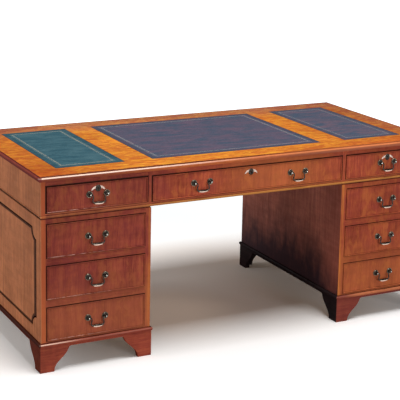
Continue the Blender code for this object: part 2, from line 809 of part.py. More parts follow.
def plate_outline():
    half = [(x * PLATE_HALF_WIDTH, z * PLATE_HALF_HEIGHT) for x, z in PLATE_OUTLINE_SHARES]
    other = [(-x, z) for x, z in reversed(half[1:-1])]
    return smooth_points(half + other, PLATE_SPAN_STEPS, closed=True)


def make_lock(name, front, plate_z, front_height, parent):
    """Keyhole plate, lock case and bolt of a frieze drawer, round one keyhole."""
    key_reach = FRONT_THICKNESS - LOCK_DEPTH + KEY_REACH
    keyhole_mesh = outline_mesh(name + "_keyhole", keyhole_outline(), 2 * key_reach)
    keyhole = place(keyhole_mesh.name, keyhole_mesh, None, (0, 0, plate_z),
                    (math.pi / 2, 0, 0), parent)

    mesh = outline_mesh(name + "_escutcheon", plate_outline(), PLATE_THICKNESS)
    plate_y = -SEAT_GAP - PLATE_THICKNESS / 2
    plate = place(name + "_escutcheon", mesh, "antique_brass", (0, plate_y, plate_z),
                  (math.pi / 2, 0, 0), parent)
    cut(plate, keyhole)

    top_z = front_height / 2
    back_y = FRONT_THICKNESS
    low = (-LOCK_WIDTH / 2, back_y - LOCK_DEPTH, top_z - LOCK_HEIGHT)
    case = block(name + "_lock_case", low, (LOCK_WIDTH / 2, back_y, top_z), "lock_brass", parent)
    recess = block(
        name + "_lock_recess",
        (low[0] - LOCK_CLEARANCE, low[1] - SEAT_GAP, low[2] - SEAT_GAP),
        (LOCK_WIDTH / 2 + LOCK_CLEARANCE, back_y + OVERRUN, top_z + OVERRUN), parent=parent)
    cut(front, recess)
    cut(front, keyhole)
    cut(case, keyhole)

    bolt_y = back_y - LOCK_DEPTH / 2
    block(name + "_lock_bolt",
          (-BOLT_WIDTH / 2, bolt_y - BOLT_DEPTH / 2, top_z - BOLT_HEIGHT),
          (BOLT_WIDTH / 2, bolt_y + BOLT_DEPTH / 2, top_z), "lock_brass", parent)
    slot_half_x = BOLT_WIDTH / 2 + BOLT_CLEARANCE
    slot_half_y = BOLT_DEPTH / 2 + BOLT_CLEARANCE
    slot = block(
        name + "_bolt_slot",
        (-slot_half_x, bolt_y - slot_half_y, top_z - BOLT_HEIGHT - SEAT_GAP),
        (slot_half_x, bolt_y + slot_half_y, top_z + OVERRUN), parent=parent)
    cut(case, slot)


# Drawers

def make_drawer_box(name, width, height, foot_z, parent):
    """Two sides, a back and a raised bottom; the drawer front closes its open end."""
    half = width / 2
    near_y = FRONT_THICKNESS + SEAT_GAP
    far_y = near_y + BOX_LENGTH
    box = block(name, (-half, near_y, foot_z), (half, far_y, foot_z + height),
                "drawer_lining", parent)
    panel_z = foot_z + BOX_BOTTOM_RAISE
    inner = half - BOX_WALL
    cavity = block(name + "_cavity", (-inner, near_y - OVERRUN, panel_z + BOX_BOTTOM),
                   (inner, far_y - BOX_WALL, foot_z + height + OVERRUN), parent=parent)
    cut(box, cavity)
    underside = block(name + "_underside", (-inner, near_y - OVERRUN, foot_z - OVERRUN),
                      (inner, far_y - BOX_WALL, panel_z), parent=parent)
    cut(box, underside)


def make_drawer(name, x, sill, opening_width, opening_height, box_height, boss_rise, handles):
    """A drawer front with its posts, its box and its bails, on one parent empty.

    The empty is in the middle of the opening, on the plane of the drawer's face."""
    middle = empty(name + "_drawer", (x, FRONT_Y, sill + opening_height / 2))
    front_width = opening_width - 2 * DRAWER_GAP
    front_height = opening_height - 2 * DRAWER_GAP
    steps = [(0.0, 0.0)]
    steps += [(inset, FRONT_THICKNESS + up) for inset, up in COCKBEAD]
    mesh = stepped_slab_mesh(name + "_drawer_front", front_width, front_height, steps)
    front = place(mesh.name, mesh, "front_veneer", (0, FRONT_THICKNESS, 0),
                  (math.pi / 2, 0, 0), middle)
    mesh.materials.append(LOOKS["antique_brass"])
    post_and_sockets(front, name, handles, boss_rise, middle)

    foot_z = SEAT_GAP - opening_height / 2
    make_drawer_box(name + "_drawer_box", opening_width - 2 * BOX_SIDE_GAP, box_height,
                    foot_z, middle)
    for number, handle_x in enumerate(handles):
        label = name + "_bail" if len(handles) == 1 else "%s_bail_%d" % (name, number + 1)
        make_bail(label, handle_x, boss_rise, middle)
    return front, front_height, middle


def make_drawers():
    for name, x, width in frieze_openings():
        handles = (-CENTRE_HANDLE_X, CENTRE_HANDLE_X) if name == "frieze_centre" else (0,)
        front, front_height, middle = make_drawer(
            name, x, FRIEZE_SILL_Z, width, FRIEZE_OPENING_HEIGHT, FRIEZE_BOX_HEIGHT,
            FRIEZE_BOSS_RISE, handles)
        make_lock(name, front, FRIEZE_BOSS_RISE + PLATE_RISE, front_height, middle)
    for side, x in (("left", -PEDESTAL_X), ("right", PEDESTAL_X)):
        for level, sill in zip(DRAWER_LEVELS, sill_heights()):
            make_drawer("%s_%s" % (side, level), x, sill, PEDESTAL_OPENING_WIDTH,
                        PEDESTAL_OPENING_HEIGHT, PEDESTAL_BOX_HEIGHT, PEDESTAL_BOSS_RISE, (0,))


make_top()
make_frieze()
make_pedestal("pedestal_left", -PEDESTAL_X, "left")
make_pedestal("pedestal_right", PEDESTAL_X, "right")
make_drawers()
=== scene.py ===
"""Studio picture of the pedestal desk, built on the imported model."""

import json
import math

import bmesh
import bpy
from mathutils import Matrix, Vector

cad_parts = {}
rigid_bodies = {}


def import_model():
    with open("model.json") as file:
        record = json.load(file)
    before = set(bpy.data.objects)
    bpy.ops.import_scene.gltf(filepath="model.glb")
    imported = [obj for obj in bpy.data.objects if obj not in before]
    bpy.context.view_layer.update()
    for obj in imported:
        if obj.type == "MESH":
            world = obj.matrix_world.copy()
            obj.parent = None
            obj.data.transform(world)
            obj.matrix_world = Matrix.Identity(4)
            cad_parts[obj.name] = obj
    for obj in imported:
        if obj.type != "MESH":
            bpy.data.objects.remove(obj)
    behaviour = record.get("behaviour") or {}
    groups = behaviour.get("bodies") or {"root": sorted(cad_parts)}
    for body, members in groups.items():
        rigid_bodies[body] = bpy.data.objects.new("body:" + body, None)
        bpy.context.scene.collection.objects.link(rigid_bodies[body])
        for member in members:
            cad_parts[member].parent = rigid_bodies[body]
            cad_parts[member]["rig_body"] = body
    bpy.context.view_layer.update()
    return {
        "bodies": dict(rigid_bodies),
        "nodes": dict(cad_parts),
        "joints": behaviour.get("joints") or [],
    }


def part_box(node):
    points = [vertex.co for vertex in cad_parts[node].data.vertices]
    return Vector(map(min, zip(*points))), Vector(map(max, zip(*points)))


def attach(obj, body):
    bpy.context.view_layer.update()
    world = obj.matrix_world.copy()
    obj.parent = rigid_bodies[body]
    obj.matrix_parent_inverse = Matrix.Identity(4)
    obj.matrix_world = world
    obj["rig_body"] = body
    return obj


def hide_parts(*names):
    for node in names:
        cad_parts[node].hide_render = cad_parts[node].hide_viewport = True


bpy.context.preferences.edit.use_global_undo = False
for item in list(bpy.data.objects):
    bpy.data.objects.remove(item)

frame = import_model()
NODES = frame["nodes"]
DRAWERS = {
    body[:-len("_drawer")]: body for body in frame["bodies"] if body.endswith("_drawer")
}


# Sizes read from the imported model

def low(node):
    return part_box(node)[0]


def high(node):
    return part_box(node)[1]


def middle_of(node):
    return (low(node) + high(node)) / 2


def half_of(node):
    return (high(node) - low(node)) / 2


TOP_LOW, TOP_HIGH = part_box("top_board")
MIDDLE_Y = middle_of("top_board").y
TOP_OVERHANG = 0.010
CARCASS_X = TOP_HIGH.x - TOP_OVERHANG
CARCASS_Y = half_of("top_board").y - TOP_OVERHANG
FRONT_Y = MIDDLE_Y - CARCASS_Y
PEDESTAL_X = middle_of("right_lower_drawer_front").x
PEDESTAL_HALF = CARCASS_X - PEDESTAL_X
PITCH = low("left_middle_drawer_front").z - low("left_lower_drawer_front").z
DRAWER_GAP = 0.0015
COCKBEAD_WIDTH = 0.0044
PANEL_MARGIN = 0.050
PANEL_CORNER = 0.042
PANEL_Z = middle_of("pedestal_left_outer_side").z
PANEL_HALF_HEIGHT = half_of("pedestal_left_outer_side").z - PANEL_MARGIN
PLINTH_TOP = high("pedestal_left_plinth").z
FRIEZE_FOOT = low("frieze_back").z
FRIEZE_BEAD_HEIGHT = 0.009
FRIEZE_BEAD_REACH = 0.003
# Height of the painted shadow along the foot of the frieze's sides
FRIEZE_SEAM_SHADOW = 0.006
HINGES = {joint["child"]: joint["pos_m"] for joint in frame["joints"]}
FACING = {"front": -90, "left": 180, "back": 90, "right": 0}
MITRE_GAP = 0.0002
SMOOTH_ANGLE = math.radians(32)


def face_of(node, gap=0.0):
    """Middle and half size of a drawer's face, in |x| and z."""
    middle, half = middle_of(node), half_of(node)
    return (abs(middle.x), middle.z), (half.x + gap, half.z + gap)


# Shapes

def new_object(name, data):
    item = bpy.data.objects.new(name, data)
    bpy.context.scene.collection.objects.link(item)
    return item


def piece(name, mesh, body, look, node=None):
    """A shown piece in rest coordinates, moving with its CAD body.

    look is a name in LOOKS, or a row of them."""
    item = new_object(name, mesh)
    mesh.materials.clear()
    for one in [look] if isinstance(look, str) else look:
        mesh.materials.append(LOOKS[one])
    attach(item, body)
    if node:
        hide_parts(node)
    return item


def paint(item, choose):
    """Gives every face the material slot that choose names for it."""
    for face in item.data.polygons:
        face.material_index = choose(face)


def to_mesh(bm, name, smooth=True):
    bmesh.ops.recalc_face_normals(bm, faces=bm.faces)
    mesh = bpy.data.meshes.new(name)
    bm.to_mesh(mesh)
    bm.free()
    if smooth:
        mesh.shade_smooth()
        mesh.set_sharp_from_angle(angle=SMOOTH_ANGLE)
    return mesh


def arc(cx, cy, radius, start, end, steps):
    """Points on a circle arc; angles in degrees."""
    points = []
    for i in range(steps + 1):
        a = math.radians(start + (end - start) * i / steps)
        points.append((cx + radius * math.cos(a), cy + radius * math.sin(a)))
    return points


def circle(steps):
    return [2 * math.pi * k / steps for k in range(steps)]


def spline(points, steps, closed=False):
    """A smooth line through the points."""
    count = len(points)
    result = []
    for i in range(count if closed else count - 1):
        around = [points[k % count if closed else min(max(k, 0), count - 1)]
                  for k in range(i - 1, i + 3)]
        for step in range(steps):
            t = step / steps
            result.append(tuple(
                0.5 * (2 * q + (r - p) * t + (2 * p - 5 * q + 4 * r - s) * t * t
                       + (3 * q - p - 3 * r + s) * t ** 3)
                for p, q, r, s in zip(*around)))
    if not closed:
        result.append(tuple(points[-1]))
    return result


def solid(name, rings, place=(0, 0, 0), turn=None, loop=False, weld=False):
    """A mesh through rings of points, with caps at both ends unless the rings close a loop."""
    bm = bmesh.new()
    rows = [[bm.verts.new(p) for p in ring] for ring in rings]
    pairs = list(zip(rows, rows[1:]))
    if loop:
        pairs.append((rows[-1], rows[0]))
    count = len(rows[0])
    for first, second in pairs:
        for i in range(count):
            j = (i + 1) % count
            bm.faces.new((first[i], first[j], second[j], second[i]))
    if not loop:
        bm.faces.new(rows[0])
        bm.faces.new(rows[-1])
    if weld:
        bmesh.ops.remove_doubles(bm, verts=bm.verts, dist=0.00001)
    if turn:
        bmesh.ops.rotate(bm, verts=bm.verts, matrix=turn)
    bmesh.ops.translate(bm, verts=bm.verts, vec=place)
    return to_mesh(bm, name)


def slab(name, centre, half_size, steps, upright=False):
    """A slab whose edge follows steps of (inset, height); an upright one faces the front."""
    rings = []
    for inset, height in steps:
        a, b = half_size[0] - inset, half_size[1] - inset
        rings.append([(-a, -b, height), (a, -b, height), (a, b, height), (-a, b, height)])
    turn = Matrix.Rotation(math.pi / 2, 3, "X") if upright else None
    return solid(name, rings, centre, turn)


def side_board(name, side, profile, half_length, reach, centre):
    """A mitred board on one side of a carcass; profile holds (outward, up) points."""
    rings = [[(reach + out, end * (half_length + out - MITRE_GAP), up) for out, up in profile]
             for end in (-1, 1)]
    return solid(name, rings, centre, Matrix.Rotation(math.radians(FACING[side]), 3, "Z"))


def ring_board(name, profile, half_x, half_y, centre):
    """A rectangular ring whose section is profile, as (outward, up) points."""
    corners = ((-1, -1), (1, -1), (1, 1), (-1, 1))
    rings = [[(sx * (half_x + out), sy * (half_y + out), up) for out, up in profile]
             for sx, sy in corners]
    return solid(name, rings, centre, loop=True)


def rod(name, points, radii, depths, sides, closed=False):
    """A rod along points in a plane of constant y; depths holds its half thickness in y."""
    rings = []
    count = len(points)
    turns = circle(sides)
    for i, (x, y, z) in enumerate(points):
        before = points[i - 1] if i or closed else points[0]
        after = points[(i + 1) % count] if i < count - 1 or closed else points[-1]
        along = Vector((after[0] - before[0], 0, after[2] - before[2])).normalized()
        across = Vector((-along.z, 0, along.x)) * radii[i]
        rings.append([(x + across.x * math.cos(a), y + math.sin(a) * depths[i],
                       z + across.z * math.cos(a)) for a in turns])
    return solid(name, rings, loop=closed)


def lathe(name, profile, place):
    """A turned shape on an axis along -Y; profile holds (radius, height) from tip to foot."""
    turns = circle(28)
    rings = [[(radius * math.cos(a), -height, radius * math.sin(a)) for a in turns]
             for radius, height in profile]
    return solid(name, rings, place, weld=True)


def prism(name, outline, depths, place=(0, 0, 0)):
    """An outline in XZ run from one depth to the next; depths holds (inset share, y)."""
    rings = [[(x * share, y, z * share) for x, z in outline] for share, y in depths]
    return solid(name, rings, place)


def grown(node, less, more):
    """Corners of a node's box, moved out by less at the low end and by more at the high end."""
    lower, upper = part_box(node)
    return lower - Vector(less), upper + Vector(more)


def box_mesh(name, lower, upper):
    bm = bmesh.new()
    bmesh.ops.create_cube(bm, size=1)
    bmesh.ops.scale(bm, vec=[b - a for a, b in zip(lower, upper)], verts=bm.verts)
    bmesh.ops.translate(bm, vec=[(a + b) / 2 for a, b in zip(lower, upper)], verts=bm.verts)
    return to_mesh(bm, name, smooth=False)


def carve(item, meshes, bevel=0.0):
    """Takes the meshes out of a piece and softens the arrises."""
    tools = [new_object(mesh.name, mesh) for mesh in meshes]
    for tool in tools:
        modifier = item.modifiers.new("cut", "BOOLEAN")
        modifier.operation = "DIFFERENCE"
        modifier.solver = "EXACT"
        modifier.object = tool
    bpy.context.view_layer.update()
    evaluated = item.evaluated_get(bpy.context.evaluated_depsgraph_get())
    mesh = bpy.data.meshes.new_from_object(evaluated)
    item.modifiers.clear()
    item.data = mesh
    for tool in tools:
        bpy.data.objects.remove(tool)
    mesh.shade_smooth()
    mesh.set_sharp_from_angle(angle=SMOOTH_ANGLE)
    if bevel:
        soften(item, bevel)


def soften(item, width):
    modifier = item.modifiers.new("soft", "BEVEL")
    modifier.width = width
    modifier.segments = 2
    modifier.limit_method = "ANGLE"
    modifier.angle_limit = math.radians(40)
    modifier.harden_normals = True


def refined(node, look, bevel=0.0006):
    """A CAD node's own shape with clean faces and softened arrises."""
    bm = bmesh.new()
    bm.from_mesh(NODES[node].data)
    bmesh.ops.remove_doubles(bm, verts=bm.verts, dist=0.00002)
    bmesh.ops.dissolve_limit(bm, angle_limit=math.radians(1), verts=bm.verts, edges=bm.edges)
    mesh = to_mesh(bm, node + "_shown")
    item = piece(node + "_shown", mesh, NODES[node]["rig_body"], look, node)
    soften(item, bevel)
    return item


# Surfaces

SHOWN_RAYS = ("Is Camera Ray", "Is Glossy Ray", "Is Transmission Ray")


class Nodes:
    """Shader nodes put together by calls; every value may be a number or another's output."""

    def __init__(self, tree):
        self.tree = tree

    def node(self, kind, inputs=None, out=0, **settings):
        node = self.tree.nodes.new("ShaderNode" + kind)
        for key, value in settings.items():
            setattr(node, key, value)
        for key, value in (inputs or {}).items():
            self.feed(node.inputs[key], value)
        return node.outputs[out]

    def feed(self, socket, value):
        if isinstance(value, bpy.types.NodeSocket):
            self.tree.links.new(value, socket)
        else:
            socket.default_value = value

    def math(self, operation, value, *others):
        """One operation, taken along the values from left to right."""
        for other in others or (0.0,):
            value = self.node("Math", {0: value, 1: other}, operation=operation)
        return value

    def plus(self, *values):
        return self.math("ADD", *values)

    def minus(self, *values):
        return self.math("SUBTRACT", *values)

    def times(self, *values):
        return self.math("MULTIPLY", *values)

    def most(self, *values):
        return self.math("MAXIMUM", *values)

    def least(self, *values):
        return self.math("MINIMUM", *values)

    def above(self, value, limit):
        return self.math("GREATER_THAN", value, limit)

    def size(self, value):
        return self.math("ABSOLUTE", value)

    def apart(self, a, b):
        return self.size(self.minus(a, b))

    def vector(self, operation, a, b=(0, 0, 0)):
        return self.node("VectorMath", {0: a, 1: b}, operation=operation)

    def length(self, vector):
        return self.node("VectorMath", {0: vector}, out="Value", operation="LENGTH")

    def range(self, value, a, b, c=0.0, d=1.0, smooth=True):
        kind = "SMOOTHSTEP" if smooth else "LINEAR"
        return self.node("MapRange", {"Value": value, "From Min": a, "From Max": b,
                                      "To Min": c, "To Max": d}, interpolation_type=kind)

    def mix(self, factor, a, b, blend="MIX"):
        """a and b are colours: (red, green, blue) or another node's output."""
        a, b = [(*one, 1) if isinstance(one, tuple) else one for one in (a, b)]
        return self.node("Mix", {0: factor, 6: a, 7: b}, out=2, data_type="RGBA", blend_type=blend)

    def layered(self, colour, *layers, blend="MIX"):
        """Tints laid over a colour one by one; layers holds (mask, tint)."""
        for mask, tint in layers:
            colour = self.mix(mask, colour, tint, blend)
        return colour

    def toned(self, colour, tone, blue=None):
        """The colour times a tone, with a tone of its own for blue where one is given."""
        tones = self.node("CombineXYZ", {0: tone, 1: tone, 2: tone if blue is None else blue})
        return self.mix(1.0, colour, tones, "MULTIPLY")

    def blend(self, factor, a, b):
        return self.node("Mix", {0: factor, 2: a, 3: b}, out=0, data_type="FLOAT")

    def noise(self, vector, scale, detail=4.0, rough=0.55, distortion=0.0):
        """scale is one number, or one for each axis."""
        if isinstance(scale, tuple):
            vector, scale = self.vector("MULTIPLY", vector, scale), 1.0
        return self.node("TexNoise", {"Vector": vector, "Scale": scale, "Detail": detail,
                                      "Roughness": rough, "Distortion": distortion})

    def ramp(self, value, stops):
        """A run of colours; stops holds three of (position, colour)."""
        ramp = self.tree.nodes.new("ShaderNodeValToRGB")
        ramp.color_ramp.elements.new(0.5)
        for element, (position, colour) in zip(ramp.color_ramp.elements, stops):
            element.position, element.color = position, (*colour, 1)
        self.feed(ramp.inputs[0], value)
        return ramp.outputs[0]

    def shown(self):
        """1 where a ray comes from the camera, from a mirror or through glass."""
        camera, mirror, glass = [self.node("LightPath", out=ray) for ray in SHOWN_RAYS]
        return self.most(mirror, glass, camera)


class Look(Nodes):
    """A material of such nodes, in the coordinates of the piece at rest."""

    def __init__(self, name):
        self.material = bpy.data.materials.new(name)
        self.material.use_nodes = True
        super().__init__(self.material.node_tree)
        self.shader = self.tree.nodes["Principled BSDF"]
        self.place = self.node("TexCoord", out="Object")
        self.x, self.y, self.z = [
            self.node("SeparateXYZ", {0: self.place}, out=i) for i in range(3)]

    def distance(self, point):
        return self.length(self.vector("SUBTRACT", self.place, point))

    def bump(self, height, distance, strength):
        return self.node("Bump", {"Height": height, "Distance": distance, "Strength": strength})

    def set(self, **values):
        for key, value in values.items():
            self.feed(self.shader.inputs[key.replace("_", " ")], value)
        return self.material

    def edge_distance(self, across, up, middle, half):
        """How far inside a rectangle's edge a point is; across and up are sockets."""
        distances = [self.minus(reach, self.apart(value, centre))
                     for value, centre, reach in zip((across, up), middle, half)]
        return self.least(*distances), distances

    def line(self, distance, inset, width, soft=0.0003):
        """1 on a line at this inset, 0 off it."""
        off = self.apart(distance, inset)
        return self.range(off, width / 2 - soft, width / 2 + soft, 1.0, 0.0)


def stretch(along, across_scale, along_scale):
    return tuple(along_scale if i == along else across_scale for i in range(3))


def grain(look, along, tones, figure, seed=0.0):
    """Colour and height of a polished veneer whose grain runs along one axis.

    tones holds dark, middle and light colours."""
    shifted = look.vector("ADD", look.place, (seed, seed * 1.7, seed * 0.6))
    wander = look.node("TexNoise", {"Vector": shifted, "Scale": 3.0, "Detail": 2.0}, out=1)
    wander = look.vector("SUBTRACT", wander, (0.5, 0.5, 0.5))
    wander = look.vector("MULTIPLY", wander, stretch(along, 0.030, 0.0))
    line = look.vector("ADD", shifted, wander)
    bands = look.noise(line, stretch(along, 62, 1.6), 5.0, 0.6)
    fine = look.noise(line, stretch(along, 230, 17), 4.0, 0.6)
    pores = look.range(look.noise(line, stretch(along, 1500, 42), 2.0, 0.5), 0.60, 0.70)
    cloud = look.noise(shifted, stretch(along, 6, 3), 3.0, 0.5)
    ripple = look.noise(shifted, stretch(along, 9, 38), 2.0, 0.5)
    dark, middle, light = tones
    colour = look.ramp(look.blend(0.5, bands, fine), ((0.34, dark), (0.50, middle), (0.66, light)))
    tone = look.blend(0.35, cloud, ripple)
    tone = look.range(tone, 0.32, 0.68, 1.0 - figure, 1.0 + figure, smooth=False)
    colour = look.toned(colour, tone)
    colour = look.mix(look.times(pores, 0.45), colour, dark, "MULTIPLY")
    return colour, look.minus(look.times(fine, 0.3), pores)


def varnish(look, colour, height, roughness=0.30, coat=0.12):
    smear = look.noise(look.place, 11.0, 5.0, 0.6)
    rough = look.range(smear, 0.3, 0.7, roughness - 0.05, roughness + 0.07)
    facing = look.node("LayerWeight", {"Blend": 0.5}, out="Facing")
    thin = look.range(facing, 0.30, 0.95, coat, coat * 0.25)
    normal = look.bump(height, 0.00012, 0.6)
    return look.set(Base_Color=colour, Roughness=rough, Normal=normal, Coat_Weight=thin,
                    Coat_Roughness=rough, Specular_IOR_Level=0.0)


RED = ((0.205, 0.036, 0.025), (0.300, 0.058, 0.034), (0.400, 0.094, 0.044))
PURPLE = ((0.062, 0.084, 0.130), (0.122, 0.092, 0.136))
SLATE = ((0.062, 0.088, 0.136), (0.134, 0.099, 0.138))
KNEEHOLE = ((0.400, 0.130, 0.098), (0.520, 0.180, 0.132), (0.630, 0.236, 0.168))
EDGE = ((0.420, 0.098, 0.034), (0.590, 0.158, 0.052), (0.720, 0.220, 0.072))
BROWN = ((0.430, 0.156, 0.076), (0.555, 0.208, 0.097), (0.680, 0.272, 0.125))
ORANGE = ((0.560, 0.160, 0.018), (0.690, 0.222, 0.026), (0.780, 0.300, 0.040))
DARK = ((0.085, 0.024, 0.020), (0.135, 0.038, 0.030), (0.190, 0.058, 0.042))
BRONZE = (0.014, 0.011, 0.009)
EBONY = ((0.012, 0.005, 0.004), (0.020, 0.008, 0.006), (0.030, 0.012, 0.009))
SHADED_PLINTH_TONES = ((0.013, 0.008, 0.010), (0.024, 0.014, 0.016), (0.036, 0.021, 0.022))
HIGHLIGHT_GOLD = (0.560, 0.250, 0.060)
PLAIN = ((0.200, 0.100, 0.045), (0.330, 0.185, 0.090), (0.450, 0.280, 0.150))
LINE_DARK = (0.028, 0.008, 0.005)
CLOUD_PLACE = (0.0, 2.59, 4.27)
SIDE_SHADE, BACK_SHADE, LEVEL_SHADE, CORNER_SHADE = 0.026, 0.013, 0.0115, 0.0150
ROLL_PITCH = 0.0066


def plain_veneer(name, along, tones, roughness=0.30, coat=0.12, seed=0.0):
    look = Look(name)
    colour, height = grain(look, along, tones, 0.35, seed)
    return varnish(look, colour, height, roughness, coat)


def footed_veneer(name, shadow_top):
    """Upright grain over a painted shadow along the foot, where the frieze meets the pedestal."""
    look = Look(name)
    colour, height = grain(look, 2, BROWN, 0.22, seed=0.5)
    foot = look.range(look.z, shadow_top - 0.0005, shadow_top + 0.0005, 0.9, 0.0)
    return varnish(look, look.mix(foot, colour, LINE_DARK), height)


def two_way(look, mask, first, second):
    """Two grains, the second one where the mask is 1."""
    colour = look.mix(mask, first[0], second[0])
    height = look.blend(mask, first[1], second[1])
    return colour, height


def stained_and_shaded(look, colour, middle_tone=1.36):
    """Warm and wine-red clouds, more orange low down and over the kneehole, with painted shade that
    darkens the tone towards the left.
    """
    drift = look.vector("ADD", look.place, CLOUD_PLACE)
    cloud = look.blend(0.5, look.noise(drift, (7, 7, 4), 3.0, 0.55, 0.6),
                       look.noise(drift, (42, 42, 24), 3.0, 0.6, 0.5))
    more_orange = look.most(look.range(look.z, 0.20, 0.42, 0.35, 0.0),
                       look.range(look.apart(look.x, 0.12), 0.08, 0.36, 0.40, 0.0))
    colour = look.layered(
        colour, (look.range(cloud, 0.50, 0.61, 0.0, 0.50), (0.400, 0.108, 0.038)),
        (look.range(cloud, 0.39, 0.50, 0.40, 0.0), (0.215, 0.036, 0.036)),
        (more_orange, (0.400, 0.130, 0.044)))
    # Painted shade: the tone falls off towards the left, and a little at the far left and right; it is
    # lifted low down on the left, and the blue is raised there
    left_falloff = look.range(look.x, -0.54, -0.28, 1.0, 0.0)
    tone = look.minus(look.blend(left_falloff, middle_tone, 0.85),
                      look.range(look.x, 0.20, 0.60, 0.0, 0.14),
                      look.range(look.x, -0.88, -0.68, 0.07, 0.0))
    tone = look.plus(tone, look.times(left_falloff, look.range(look.z, 0.15, 0.48, 0.19, 0.0)))
    return look.toned(colour, tone, look.times(tone, look.range(left_falloff, 0.0, 1.0, 0.88, 1.14)))


def beaded_front(name, node, pitch=None):
    """A drawer's face: upright grain in a plain bead, with painted shadow along its top and bottom
    edges and a painted highlight along the bottom at the left.
    """
    look = Look(name)
    middle, half = face_of(node)
    z = repeated(look, middle[1], pitch)
    inside, _ = look.edge_distance(look.size(look.x), z, middle, half)
    on_bead = look.range(inside, COCKBEAD_WIDTH - 0.0002, COCKBEAD_WIDTH + 0.0002, 1.0, 0.0)
    colour, height = two_way(look, on_bead, grain(look, 2, RED, 0.30),
                             grain(look, 0, RED, 0.20, seed=0.4))
    line = look.times(look.line(inside, COCKBEAD_WIDTH + 0.0006, 0.0012), 0.70)
    from_top = look.minus(middle[1] + half[1], z)
    from_foot = look.minus(z, middle[1] - half[1])
    # Painted shadow of the gap, along the top and bottom edges of the face
    gap_shadow = look.most(look.range(from_top, 0.0006, 0.0016, 0.7, 0.0),
                      look.range(from_foot, 0.0006, 0.0016, 0.6, 0.0))
    # Painted highlight: a pale streaky line low on the bead at the left
    bead_highlight = look.times(look.range(look.noise(look.place, (40, 1, 6), 3.0, 0.6), 0.36, 0.60),
                        look.range(look.x, -0.75, -0.55, 0.36, 0.0),
                        look.line(from_foot, 0.0032, 0.0026))
    colour = look.layered(stained_and_shaded(look, colour), (line, LINE_DARK), (gap_shadow, LINE_DARK),
                          (bead_highlight, (0.72, 0.44, 0.36)))
    return varnish(look, colour, height, 0.30, 0.07)


def repeated(look, middle_z, pitch):
    """Height above the floor, brought back to the lowest of a row of drawers."""
    z = look.z
    if not pitch:
        return z
    lowest = middle_z - pitch / 2
    return look.plus(look.math("FLOORED_MODULO", look.minus(z, lowest), pitch), lowest)


def framed_veneer(name, openings, shadow, pitch=None, bead_top=None, sapwood=None):
    """Level grain, upright grain on the stiles, and a painted shadow line round each opening that is a
    painted highlight below it.

    openings holds (middle, half size) of |x| and z. The line is slimmer beyond the left
    pedestal. A pale strip starts at sapwood."""
    look = Look(name)
    x = look.size(look.x)
    stiles = look.least(*[look.above(look.apart(x, middle[0]), half[0])
                          for middle, half in openings], 1.0)
    colour, height = two_way(look, stiles, grain(look, 0, RED, 0.25, seed=2.1),
                             grain(look, 2, RED, 0.25, seed=1.3))
    colour = stained_and_shaded(look, colour, 1.20)
    if sapwood:
        pale = look.times(look.range(look.noise(look.place, (120, 1, 4), 3.0, 0.6), 0.30, 0.60),
                          look.range(x, sapwood, sapwood + 0.013, 0.85, 0.0),
                          look.range(look.x, -0.30, 0.30, 0.60, 1.0))
        colour = look.mix(pale, colour, (0.66, 0.22, 0.050))
    outer = look.range(x, CARCASS_X - 0.024, CARCASS_X - 0.016, 0.0, 0.55)
    # Painted highlight along the outer corners of the frame
    painted_highlight = look.range(x, CARCASS_X - 0.0035, CARCASS_X - 0.0020, 0.0, 0.55)
    colour = look.layered(colour, (outer, (0.560, 0.135, 0.042)), (painted_highlight, (0.56, 0.27, 0.13)))
    z = repeated(look, openings[0][0][1], pitch)
    # Painted shadow round each opening, shifted to be bolder on the outer side and at the top and
    # slimmer beyond the left pedestal; below an opening it is a pale painted highlight
    slimmer = look.range(look.x, -0.47, -0.43, 0.0, 0.4 * shadow)
    for middle, half in openings:
        shifted = (middle[0] + 0.0009, middle[1] + 0.0004)
        inside, _ = look.edge_distance(x, z, shifted, half)
        near = look.range(look.minus(inside, slimmer), -shadow - 0.0005, -shadow + 0.0005)
        under = look.math("LESS_THAN", z, middle[1] - half[1])
        colour = look.mix(look.times(near, 0.96), colour,
                          look.mix(under, LINE_DARK, (0.44, 0.13, 0.06)))
    if bead_top:
        # Painted highlight on top of the bead, stronger at the right, with painted shade in the crease
        # just above it
        lit = look.times(look.range(look.z, bead_top - 0.0002, bead_top + 0.0003, 1.0, 0.0),
                         look.range(look.x, -0.60, -0.30, 0.18, 0.70))
        crease_shade = look.range(look.apart(look.z, bead_top + 0.0007), 0.0003, 0.0009, 0.7, 0.0)
        colour = look.layered(colour, (lit, HIGHLIGHT_GOLD), (crease_shade, LINE_DARK))
    return varnish(look, colour, height, 0.30, 0.07)


def panel_veneer(name, axis, middle, half, upright_shade):
    """Upright grain with a dark shade along the inside of the panel line.

    upright_shade is the width of the shade beside the upright stretches of the line."""
    look = Look(name)
    colour, height = grain(look, 2, BROWN, 0.22, seed=0.8)
    across = look.y if axis == "y" else look.size(look.x)
    _, (from_side, from_end) = look.edge_distance(across, look.z, middle, half)
    from_corner = look.length(look.node("CombineXYZ", {0: from_side, 1: from_end}))
    shade = look.least(look.math("DIVIDE", from_side, upright_shade),
                       look.math("DIVIDE", from_end, LEVEL_SHADE),
                       look.math("DIVIDE", look.minus(from_corner, PANEL_CORNER), CORNER_SHADE))
    band = look.times(look.range(shade, 0.70, 1.10, 0.88, 0.0), look.above(shade, -0.10))
    return varnish(look, look.mix(band, colour, LINE_DARK), height)


